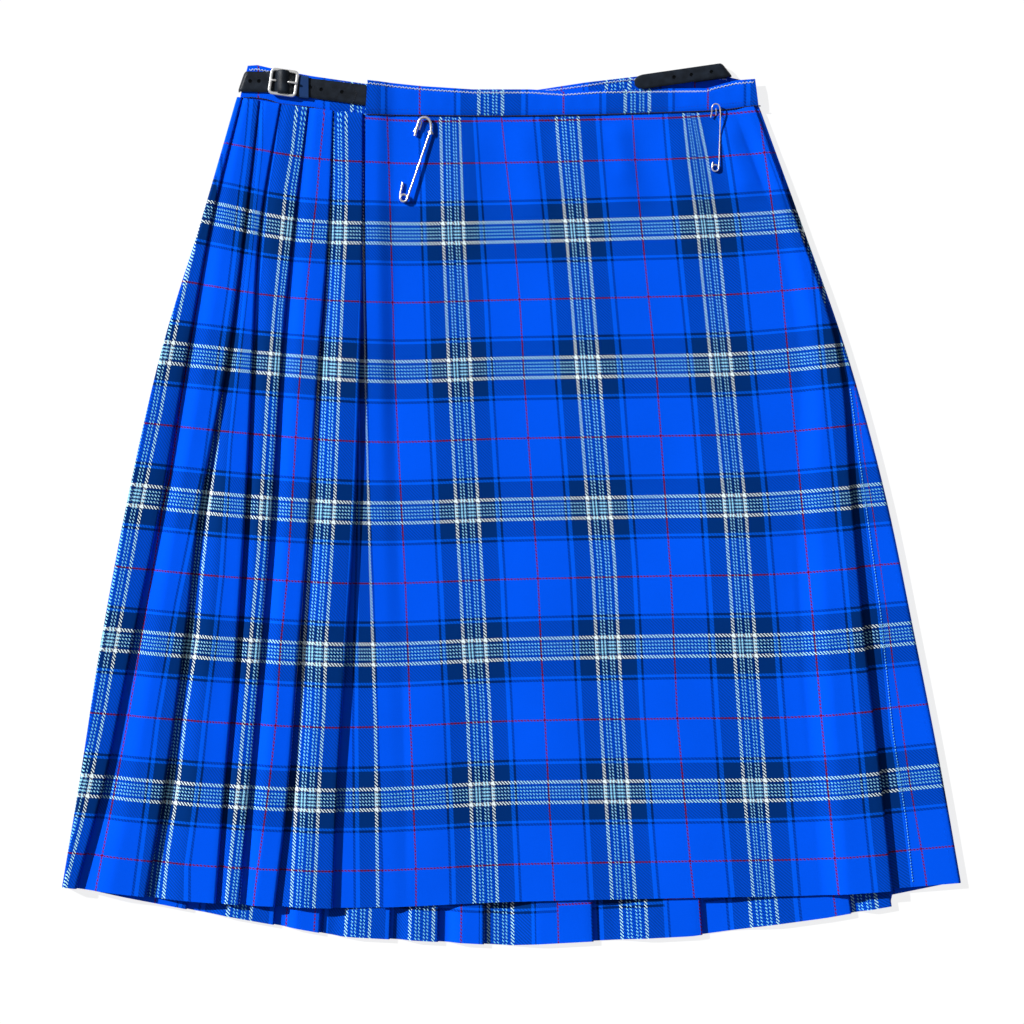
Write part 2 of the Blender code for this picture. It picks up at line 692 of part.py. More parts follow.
def pin_points(pin, level):
    """One wire: the stub out of the cloth, a turn and a bit round the coil, the shaft and the bent head."""
    radius = pin["wire"] / 2
    coil_x, coil_y = pin["coil"]
    reach = pin["coil_radius"] - radius
    low = level + radius
    high = low + pin["wire"] + GAP
    points = []
    stub_x, stub_y = pin["stub"]
    start = math.atan2(stub_y - coil_y, stub_x - coil_x) + math.pi / 2 - PIN_LEAN
    points.append((stub_x, stub_y, low))
    first = (coil_x + reach * math.cos(start), coil_y + reach * math.sin(start))
    points.append(((stub_x + first[0]) / 2, (stub_y + first[1]) / 2, low))
    sweep = 2 * math.pi + PIN_TURN
    for step in range(PIN_COIL_STEPS + 1):
        share = step / PIN_COIL_STEPS
        angle = start + sweep * share
        x = coil_x + reach * math.cos(angle)
        y = coil_y + reach * math.sin(angle)
        points.append((x, y, low + (high - low) * share))
    shaft_x, shaft_y = pin["shaft"]
    last = points[-1]
    head_level = low + PIN_HEAD_RISE
    for share in PIN_SHAFT_SHARES:
        x = last[0] + (shaft_x - last[0]) * share
        y = last[1] + (shaft_y - last[1]) * share
        points.append((x, y, high + (head_level - high) * share))
    head_x, head_y = pin["head"]
    head_radius = pin["head_radius"]
    opening = math.atan2(shaft_y - head_y, shaft_x - head_x)
    for step in range(1, PIN_HEAD_STEPS + 1):
        angle = opening + pin["head_sweep"] * step / PIN_HEAD_STEPS
        x = head_x + head_radius * math.cos(angle)
        y = head_y + head_radius * math.sin(angle)
        points.append((x, y, head_level))
    end_x, end_y = pin["tip"]
    points.append((end_x, end_y, low))
    return points


def build_pins():
    """The large pin near the free edge and the small one near the right side."""
    for name, pin in PINS.items():
        level = apron_rest(pin["rests_at"]) + WALL + GAP
        add_wire(name, pin_points(pin, level), pin["wire"] / 2)


def main():
    """Clears the scene and builds every piece."""
    for item in list(bpy.data.objects):
        bpy.data.objects.remove(item, do_unlink=True)
    build_cloth()
    build_waistbands()
    build_belt()
    build_hip_strap()
    build_pins()


main()
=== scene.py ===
"""A kilt skirt laid flat with its front up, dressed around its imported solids.

The cloth is charted on a square drawing sheet of 1024 steps a side, 0.75 mm a step, with Y down the sheet.
Sections of the cloth are worked out in millimetres, with X to the wearer's left, Y up to the waist and Z up
from the floor, and MM turns them into metres. A drop is a distance down the cloth from the waist seam. Warp
and weft are places in the tartan, in millimetres from the middle of a white group.
"""

import logging
import math
from dataclasses import dataclass, field
from enum import Enum
from typing import Callable, Optional, Sequence, Union

import bpy
import numpy as np
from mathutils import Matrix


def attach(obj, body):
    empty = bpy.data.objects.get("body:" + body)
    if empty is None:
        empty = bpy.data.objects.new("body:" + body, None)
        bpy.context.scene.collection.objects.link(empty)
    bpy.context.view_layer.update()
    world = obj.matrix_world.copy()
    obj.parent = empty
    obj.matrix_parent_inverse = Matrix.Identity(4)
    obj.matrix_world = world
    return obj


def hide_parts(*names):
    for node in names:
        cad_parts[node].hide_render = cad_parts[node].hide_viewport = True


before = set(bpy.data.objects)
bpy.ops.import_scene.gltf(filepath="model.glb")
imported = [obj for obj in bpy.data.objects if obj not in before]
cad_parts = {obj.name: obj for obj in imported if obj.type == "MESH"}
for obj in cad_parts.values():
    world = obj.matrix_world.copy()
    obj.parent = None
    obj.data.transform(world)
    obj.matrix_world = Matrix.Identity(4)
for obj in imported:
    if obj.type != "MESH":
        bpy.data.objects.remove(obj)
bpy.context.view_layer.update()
LOG = logging.getLogger("kilt")

Point = tuple[float, float]
Place = tuple[float, float, float]
Colour = tuple[float, float, float, float]

MM = 0.001
SHEET_STEP = 0.75  # millimetres
SHEET_MIDDLE = (512.0, 503.5)
CENTRE_Y = -1.1  # where the finished part's own middle lies on the drawing

# The cloth and how it lies, as in the solids
WALL = 1.0
SHELL = 0.8  # thickness of the shell that stands for the wall
HALF = SHELL / 2
GAP = 0.3
PRESSED_PITCH = 1.3
OPEN_PITCH = 2.0
OPEN_DROP = 170.0
HEM = 588.0
ROW_STEP = 4.9
SETT = 105.0  # one repeat of the tartan
FIRST_GROUP = 88.0  # drop of the first white group of the weft
BAND_WALL = 1.5
STRAP_WALL = 1.8
PLEAT_DEPTH = 0.45  # of a panel's width, turned under at its fold


def sheet_x(step: float) -> float:
    """X in millimetres of a step across the drawing sheet."""
    return (step - SHEET_MIDDLE[0]) * SHEET_STEP


def sheet_y(step: float) -> float:
    """Y in millimetres of a step down the drawing sheet."""
    return (SHEET_MIDDLE[1] - step) * SHEET_STEP


def in_metres(x: float, y: float, z: float) -> Place:
    """A drawn point in the finished part's own frame."""
    return x * MM, (y - CENTRE_Y) * MM, z * MM


def smooth(at: Union[float, np.ndarray], places: Sequence[float], values: Sequence[float]) -> np.ndarray:
    """Reads a table along a smooth curve, and goes on straight past its ends.

    Args:
        at: where to read.
        places: rising places of the table.
        values: values at the places, numbers or rows of numbers.

    Returns:
        The value or row at each place that was asked.
    """
    xs = np.asarray(places, float)
    ys = np.asarray(values, float)
    slopes = np.gradient(ys, xs, axis=0)
    at = np.asarray(at, float)
    inside = np.clip(at, xs[0], xs[-1])
    i = np.clip(np.searchsorted(xs, inside) - 1, 0, len(xs) - 2)
    step = xs[i + 1] - xs[i]
    t = (inside - xs[i]) / step
    past = at - inside
    if ys.ndim > 1:
        return smooth_part(t, step, ys[i], ys[i + 1], slopes[i], slopes[i + 1])
    end_slope = np.where(past > 0, slopes[-1], slopes[0])
    return smooth_part(t, step, ys[i], ys[i + 1], slopes[i], slopes[i + 1]) + past * end_slope


def smooth_part(t: np.ndarray, step: np.ndarray, start: np.ndarray, end: np.ndarray,
                start_slope: np.ndarray, end_slope: np.ndarray) -> np.ndarray:
    """A cubic between two entries of a table that keeps the slope at both."""
    return (
        start * (2 * t**3 - 3 * t**2 + 1)
        + step * start_slope * (t**3 - 2 * t**2 + t)
        + end * (3 * t**2 - 2 * t**3)
        + step * end_slope * (t**3 - t**2)
    )


def straight(at: np.ndarray, places: Sequence[float], values: Sequence[float],
             slope: float = 1.0) -> np.ndarray:
    """Reads a table along straight lines, and goes on past its ends at a slope."""
    past = np.minimum(at - places[0], 0.0) + np.maximum(at - places[-1], 0.0)
    return np.interp(at, places, values) + past * slope


def eased(share: np.ndarray) -> np.ndarray:
    """A soft rise from 0 to 1."""
    share = np.clip(share, 0.0, 1.0)
    return share * share * (3 - 2 * share)


def pitch_at(drop: float) -> float:
    """From the middle of one layer of a pleat to the middle of the next."""
    return PRESSED_PITCH + (OPEN_PITCH - PRESSED_PITCH) * min(drop / OPEN_DROP, 1.0)


def front_low(drop: float) -> float:
    """Underside of the lowest front layer."""
    return WALL + 2 * pitch_at(drop) + GAP


def apron_rest(drop: float) -> float:
    """Underside of the over apron where it lies on the under apron."""
    return front_low(drop) + WALL + GAP


@dataclass(frozen=True)
class Trace:
    """A line down the cloth, drawn on the sheet, and the warp place that it marks."""

    warp: float
    points: tuple[Point, ...]


@dataclass
class Plan:
    """The kilt's outline and the way its weft runs, seen from above."""

    drops: tuple[float, ...] = (0, 88, 193, 298, 403, 508, 588)
    lefts: tuple[float, ...] = (-206.75, -231.4, -263.25, -287.6, -307.9, -324.75, -337.5)
    rights: tuple[float, ...] = (186.0, 217.1, 252.0, 280.5, 302.25, 323.25, 337.5)
    stations: tuple[float, ...] = (0.0, 0.15, 0.31, 0.5, 0.7, 0.85, 1.0)
    heights: tuple[tuple[float, ...], ...] = (
        (305.3, 296.6, 291.4, 291.0, 292.1, 293.6, 298.4),
        (219.4, 205.5, 202.5, 203.6, 205.9, 208.1, 212.3),
        (113.6, 105.4, 99.1, 101.5, 103.1, 105.0, 111.8),
        (6.8, -1.9, -7.1, -4.5, -2.3, -0.4, 6.8),
        (-101.3, -108.8, -113.3, -109.5, -106.9, -105.6, -97.9),
        (-210.8, -218.6, -222.6, -217.1, -215.6, -214.1, -205.1),
        (-287.6, -298.5, -303.4, -298.9, -295.9, -293.6, -286.1),
    )
    back_stations: tuple[float, ...] = (0.0, 0.15, 0.31, 0.5, 0.7, 0.85, 0.9229, 0.9236, 1.0)
    back_seam: tuple[float, ...] = (304.8, 295.1, 287.6, 286.5, 295.5, 300.4, 299.0, 298.8, 297.6)
    back_hem: tuple[float, ...] = (-287.0, -306.4, -325.5, -332.3, -325.1, -311.3, -302.6, -294.4, -283.9)

    def column(self, values: Sequence[float], drop: float) -> float:
        """A column with one entry for each of the drops, read at any drop."""
        return float(smooth(drop, self.drops, values))

    def edges(self, drop: float) -> Point:
        """Left and right edge of the kilt at a drop."""
        return self.column(self.lefts, drop), self.column(self.rights, drop)

    def share(self, x: np.ndarray, drop: float) -> np.ndarray:
        """Where x lies across the kilt, from 0 at the left edge to 1 at the right."""
        left, right = self.edges(drop)
        return np.clip((np.asarray(x, float) - left) / (right - left), 0.0, 1.0)

    def front_height(self, x: np.ndarray, drop: float) -> np.ndarray:
        """Y of the front's weft thread that lies at this drop."""
        row = smooth(drop, self.drops, self.heights)
        return smooth(self.share(x, drop), self.stations, row)

    def back_height(self, x: np.ndarray, drop: float) -> np.ndarray:
        """Y of the back's weft thread that lies at this drop."""
        share = self.share(x, drop)
        seam = np.interp(share, self.back_stations, self.back_seam)
        hem = np.interp(share, self.back_stations, self.back_hem)
        return seam + (hem - seam) * drop / HEM

    def drop_of(self, x: float, y: float) -> float:
        """The drop of the front's weft that passes through a point."""
        drops = np.linspace(-30.0, HEM + 20.0, 131)
        heights = [float(self.front_height(x, drop)) for drop in drops]
        return float(np.interp(-y, [-height for height in heights], drops))


@dataclass
class WarpMap:
    """Says which warp place shows at each x of a panel, from lines traced down it."""

    plan: Plan
    traces: Sequence[Trace]
    tight: tuple[float, float, float] = (0.88, 0.91, 0.98)  # of the warp at the waist, the hips and the hem
    followed: list[tuple[np.ndarray, np.ndarray, float]] = field(default_factory=list)

    def __post_init__(self) -> None:
        """Turns the traced points into drops and x."""
        for trace in self.traces:
            places = [(sheet_x(a), sheet_y(b)) for a, b in trace.points]
            drops = [self.plan.drop_of(x, y) for x, y in places]
            order = np.argsort(drops)
            xs = np.array([x for x, _ in places])[order]
            self.followed.append((np.array(drops)[order], xs, trace.warp))

    def at(self, x: np.ndarray, drop: float) -> np.ndarray:
        """Warp places at x.

        Args:
            x: places across the panel.
            drop: where down the cloth.

        Returns:
            The warp place at each x.
        """
        lines = sorted((float(np.interp(drop, drops, xs)), warp) for drops, xs, warp in self.followed)
        scale = 1.0 / float(np.interp(drop, (0.0, 200.0, HEM), self.tight))
        places, warps = zip(*lines)
        return straight(np.asarray(x, float), places, warps, scale)


@dataclass(frozen=True)
class Crease:
    """A soft ridge or trough in the cloth, from one point of the sheet to another."""

    start: Point
    end: Point
    width: float
    height: float


class Section:
    """The middle line of folded cloth at one drop, point by point."""

    def __init__(self) -> None:
        """Starts with no points."""
        self.x: list[float] = []
        self.z: list[float] = []
        self.warp: list[float] = []
        self.free: list[float] = []

    def add(self, x: np.ndarray, z: np.ndarray, warp: np.ndarray, free: float = 0.0) -> None:
        """Adds points.

        Args:
            x: places across.
            z: heights.
            warp: warp places.
            free: 1 where creases may lift the cloth in full.
        """
        self.x.extend(np.atleast_1d(x).tolist())
        self.z.extend(np.atleast_1d(z).tolist())
        self.warp.extend(np.atleast_1d(warp).tolist())
        self.free.extend([free] * (len(self.x) - len(self.free)))

    def turn(self, centre: Point, radius: float, side: float, warp: float, steps: int = 8) -> float:
        """A half-round fold from its upper layer to its lower one.

        Args:
            centre: the fold's middle.
            radius: of the cloth's middle line.
            side: 1 where it bulges to the right, -1 to the left.
            warp: warp place where it starts.
            steps: facets round it.

        Returns:
            The warp place where it ends.
        """
        angles = np.linspace(0.0, math.pi, steps + 1)
        warps = warp + angles * radius
        self.add(centre[0] + side * radius * np.sin(angles), centre[1] + radius * np.cos(angles), warps)
        return float(warps[-1])

    def rise(self, start: float, end: float, low: float, top: float, warp_at: Callable, bow: float = 0.0,
             free: float = 0.5, steps: int = 13) -> None:
        """A soft slope from the low layer up to the top one.

        Args:
            start: x where it starts.
            end: x where it ends.
            low: height at the start.
            top: height at the end.
            warp_at: warp places at x.
            bow: how much it bows up on its way.
            free: how much creases may lift it.
            steps: number of points.
        """
        shares = np.linspace(0.0, 1.0, steps)
        xs = start + (end - start) * shares
        bowed = bow * np.sin(math.pi * shares) ** 2
        self.add(xs, low + (top - low) * eased(shares) + bowed, warp_at(xs), free)

    def fold_under(self, edge: float, depth: float, low: float, pitch: float, lift: float,
                   warp_at: Callable, joins: Sequence[float] = ()) -> None:
        """Level to the fold of a knife pleat, back below it, and out again on the low layer.

        Args:
            edge: x of the fold.
            depth: how far the cloth goes back.
            low: height of the low layer's middle line.
            pitch: from layer to layer.
            lift: how much further the top layer stands off.
            warp_at: warp places at x.
            joins: places on the level part that get two points close together.
        """
        radius = pitch / 2
        upper = (pitch + lift) / 2
        top = low + 2 * pitch + lift
        turn_x = edge - upper - HALF
        xs = np.linspace(self.x[-1], turn_x, 7)[1:-1]
        for join in joins:
            after = int(np.searchsorted(xs, join))
            if 0 < after < len(xs):
                xs[after - 1:after + 1] = join - 0.05, join + 0.05
        self.add(xs, np.full(len(xs), top), warp_at(xs), 0.5)
        warp = self.turn((turn_x, top - upper), upper, 1.0, float(warp_at(np.array(turn_x))))
        self.turn((edge - depth + radius + HALF, low + radius), radius, -1.0, warp + depth)


class Builder:
    """Makes mesh objects in the finished part's frame."""

    @staticmethod
    def item(name: str, vertices: Sequence[Place], faces: Sequence[Sequence[int]],
             uv: Optional[np.ndarray] = None, sharp: float = 50.0) -> bpy.types.Object:
        """A mesh object from points of the drawing.

        Args:
            name: of the object.
            vertices: points in millimetres.
            faces: their corners.
            uv: one row of warp and weft for each vertex.
            sharp: angle in degrees from which an edge stays sharp.

        Returns:
            The new object.
        """
        mesh = bpy.data.meshes.new(name)
        mesh.from_pydata([in_metres(*vertex) for vertex in vertices], [], faces)
        if uv is not None:
            layer = mesh.uv_layers.new(name="weave")
            corners = np.empty(len(mesh.loops), dtype=np.int32)
            mesh.loops.foreach_get("vertex_index", corners)
            layer.data.foreach_set("uv", np.asarray(uv, np.float32)[corners].ravel())
        mesh.shade_smooth()
        mesh.set_sharp_from_angle(angle=math.radians(sharp))
        mesh.validate()
        item = bpy.data.objects.new(name, mesh)
        bpy.context.scene.collection.objects.link(item)
        return item

    @staticmethod
    def shell(name: str, upper: np.ndarray, lower: np.ndarray, uv: Optional[np.ndarray] = None,
              sharp: float = 50.0) -> bpy.types.Object:
        """A closed sheet between two skins.

        Args:
            name: of the object.
            upper: rows of points of the upper skin, in millimetres.
            lower: the same of the lower skin.
            uv: warp and weft for each row and point.
            sharp: angle in degrees from which an edge stays sharp.

        Returns:
            The new object.
        """
        rows, count = upper.shape[:2]
        index = np.arange(rows * count).reshape(rows, count)
        under = index + rows * count
        quads = [
            np.stack([index[:-1, :-1], index[1:, :-1], index[1:, 1:], index[:-1, 1:]], -1).reshape(-1, 4),
            np.stack([under[:-1, :-1], under[:-1, 1:], under[1:, 1:], under[1:, :-1]], -1).reshape(-1, 4),
            np.stack([index[:-1, 0], under[:-1, 0], under[1:, 0], index[1:, 0]], -1),
            np.stack([index[:-1, -1], index[1:, -1], under[1:, -1], under[:-1, -1]], -1),
            np.stack([index[0, :-1], index[0, 1:], under[0, 1:], under[0, :-1]], -1),
            np.stack([index[-1, :-1], under[-1, :-1], under[-1, 1:], index[-1, 1:]], -1),
        ]
        vertices = np.concatenate([upper.reshape(-1, 3), lower.reshape(-1, 3)])
        both = None if uv is None else np.concatenate([uv.reshape(-1, 2)] * 2)
        return Builder.item(name, vertices.tolist(), np.concatenate(quads).tolist(), both, sharp)

    @staticmethod
    def offset(x: np.ndarray, z: np.ndarray, distance: float) -> tuple[np.ndarray, np.ndarray]:
        """The line beside a middle line.

        Args:
            x: places across.
            z: heights.
            distance: how far to the left of the line's own direction.

        Returns:
            The new places and heights.
        """
        line = np.stack([x, z], axis=1)
        steps = np.diff(line, axis=0)
        steps /= np.maximum(np.linalg.norm(steps, axis=1), 1e-6)[:, None]
        normals = np.stack([-steps[:, 1], steps[:, 0]], axis=1)
        mitre = np.vstack([normals[:1], normals]) + np.vstack([normals, normals[-1:]])
        mitre /= np.maximum(np.linalg.norm(mitre, axis=1), 1e-6)[:, None]
        reach = distance / np.maximum(np.sum(mitre * np.vstack([normals[:1], normals]), axis=1), 0.5)
        moved = line + mitre * reach[:, None]
        return moved[:, 0], moved[:, 1]

    @staticmethod
    def alone() -> None:
        """Deselects every object."""
        for item in bpy.context.selected_objects:
            item.select_set(False)

    @staticmethod
    def chosen(item: bpy.types.Object) -> None:
        """Makes one object the selected and active one."""
        Builder.alone()
        item.select_set(True)
        bpy.context.view_layer.objects.active = item

    @staticmethod
    def settle(item: bpy.types.Object) -> None:
        """Writes an object's place and its modifiers into its mesh."""
        Builder.chosen(item)
        for modifier in list(item.modifiers):
            bpy.ops.object.modifier_apply(modifier=modifier.name)
        bpy.ops.object.transform_apply(location=True, rotation=True, scale=True)

    @staticmethod
    def dress(item: bpy.types.Object, material: bpy.types.Material) -> None:
        """Gives an object its one material."""
        item.data.materials.clear()
        item.data.materials.append(material)

    @staticmethod
    def hand_over(item: bpy.types.Object, material: bpy.types.Material, slot: str, *nodes: str) -> None:
        """Dresses a finished piece and hands it to the part.

        Args:
            item: the piece.
            material: what it is made of.
            slot: the record's material slot; not used.
            nodes: solids that it stands for.
        """
        Builder.dress(item, material)
        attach(item, "root")
        if nodes:
            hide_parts(*nodes)
        LOG.info("%s: %d faces", item.name, len(item.data.polygons))

    @staticmethod
    def rod(radius: float, length: float, centre: Place, turn: Place = (0.0, 0.0, 0.0),
            corners: int = 16) -> bpy.types.Object:
        """A round rod with its radius and length in millimetres and its centre in metres."""
        Builder.alone()
        bpy.ops.mesh.primitive_cylinder_add(vertices=corners, radius=radius * MM, depth=length * MM,
                                            location=centre, rotation=turn)
        return bpy.context.object

    @staticmethod
    def combine(item: bpy.types.Object, other: bpy.types.Object, operation: str) -> None:
        """Joins a second object to the first or cuts it away, once the first is settled."""
        step = item.modifiers.new(operation.lower(), "BOOLEAN")
        step.operation = operation
        step.object = other

    @staticmethod
    def round_off(item: bpy.types.Object, width: float, segments: int) -> None:
        """Rounds an object's edges, once it is settled."""
        rounding = item.modifiers.new("rounding", "BEVEL")
        rounding.width = width * MM
        rounding.segments = segments


def maths(operation: str, turned: bool = False) -> Callable[..., "Value"]:
    """A method of Value that adds one maths node.

    Args:
        operation: of the node.
        turned: whether the value itself comes last.

    Returns:
        The method.
    """
    def method(self: "Value", *others: "Number") -> "Value":
        numbers = (*others, self) if turned else (self, *others)
        return self.bench.sum(operation, *numbers)

    return method


class Value:
    """A number that varies over a surface. Sums on it add maths nodes to its finish."""

    def __init__(self, bench: "Bench", socket: bpy.types.NodeSocket) -> None:
        """Wraps a socket of a bench."""
        self.bench = bench
        self.socket = socket

    __add__ = __radd__ = maths("ADD")
    __mul__ = __rmul__ = maths("MULTIPLY")
    __sub__ = maths("SUBTRACT")
    __rsub__ = maths("SUBTRACT", turned=True)
    __truediv__ = maths("DIVIDE")
    __lt__ = maths("LESS_THAN")
    __gt__ = maths("GREATER_THAN")
    __abs__ = maths("ABSOLUTE")
    floor = maths("FLOOR")
    fraction = maths("FRACT")


Number = Union[Value, float]


class Bench:
    """The node tree of one finish."""

    def __init__(self, name: str) -> None:
        """Starts a material.

        Args:
            name: of the material.
        """
        self.material = bpy.data.materials.new(name)
        self.material.use_nodes = True
        self.tree = self.material.node_tree
        self.surface = self.tree.nodes["Principled BSDF"]

    def put(self, socket: bpy.types.NodeSocket, value: object) -> None:
        """Links a value or socket to an input, or sets the input to a constant."""
        if isinstance(value, Value):
            value = value.socket
        if isinstance(value, bpy.types.NodeSocket):
            self.tree.links.new(value, socket)
        else:
            socket.default_value = value

    def node(self, kind: str, settings: Optional[dict] = None,
             inputs: Optional[dict] = None) -> bpy.types.Node:
        """Adds a node.

        Args:
            kind: the node's type.
            settings: its own settings, with the stops of a ramp under "stops".
            inputs: values or links by the name or number of the socket.

        Returns:
            The node.
        """
        node = self.tree.nodes.new(kind)
        for name, value in (settings or {}).items():
            if name == "stops":
                self.set_stops(node.color_ramp, value)
            elif name == "interpolation":
                node.color_ramp.interpolation = value
            else:
                setattr(node, name, value)
        for name, value in (inputs or {}).items():
            self.put(node.inputs[name], value)
        return node

    @staticmethod
    def set_stops(ramp: bpy.types.ColorRamp, stops: Sequence[tuple[float, Colour]]) -> None:
        """Sets the stops of a ramp."""
        while len(ramp.elements) > 1:
            ramp.elements.remove(ramp.elements[-1])
        ramp.elements[0].position, ramp.elements[0].color = stops[0]
        for place, colour in stops[1:]:
            ramp.elements.new(place).color = colour

    def sum(self, operation: str, *values: Number) -> Value:
        """One maths node on numbers."""
        node = self.node("ShaderNodeMath", {"operation": operation}, dict(enumerate(values)))
        return Value(self, node.outputs[0])

    def blend(self, factor: Number, first: object, second: object, how: str = "MIX") -> bpy.types.NodeSocket:
        """Mixes two colours.

        Args:
            factor: share of the second.
            first: a colour or a socket.
            second: a colour or a socket.
            how: the way of mixing.

        Returns:
            The mixed colour.
        """
        node = self.node("ShaderNodeMix", {"data_type": "RGBA", "blend_type": how})
        for socket, value in zip((node.inputs[0], node.inputs[6], node.inputs[7]), (factor, first, second)):
            self.put(socket, value)
        return node.outputs[2]

    def noise(self, scale: float, detail: float) -> Value:
        """Soft noise from 0 to 1.

        Args:
            scale: how fine it is, a metre.
            detail: how many finer layers it has.

        Returns:
            The noise.
        """
        where = self.node("ShaderNodeTexCoord").outputs["Object"]
        inputs = {"Vector": where, "Scale": scale, "Detail": detail}
        return Value(self, self.node("ShaderNodeTexNoise", inputs=inputs).outputs[0])

    def relief(self, height: Value, depth: float, strength: float) -> None:
        """Makes the surface follow a height, given as 0 to 1 times the depth in metres."""
        bump = self.node("ShaderNodeBump", inputs={"Height": height, "Distance": depth, "Strength": strength})
        self.put(self.surface.inputs["Normal"], bump.outputs[0])

    def finish(self, **inputs: object) -> bpy.types.Material:
        """Sets the surface's own inputs, with spaces written as underscores, and returns the material."""
        for name, value in inputs.items():
            self.put(self.surface.inputs[name.replace("_", " ")], value)
        return self.material


class Yarn(Enum):
    """The dyed yarns of the tartan."""

    BRIGHT = (0.0, 0.098, 0.93, 1.0)
    NAVY = (0.0, 0.028, 0.175, 1.0)
    DARK = (0.0, 0.014, 0.12, 1.0)
    GROUND = (0.0, 0.016, 0.13, 1.0)
    LIGHT = (0.0, 0.125, 0.97, 1.0)
    WHITE = (0.88, 0.97, 1.0, 1.0)
    PALE = (0.38, 0.74, 1.0, 1.0)
    RED = (0.20, 0.001, 0.012, 1.0)


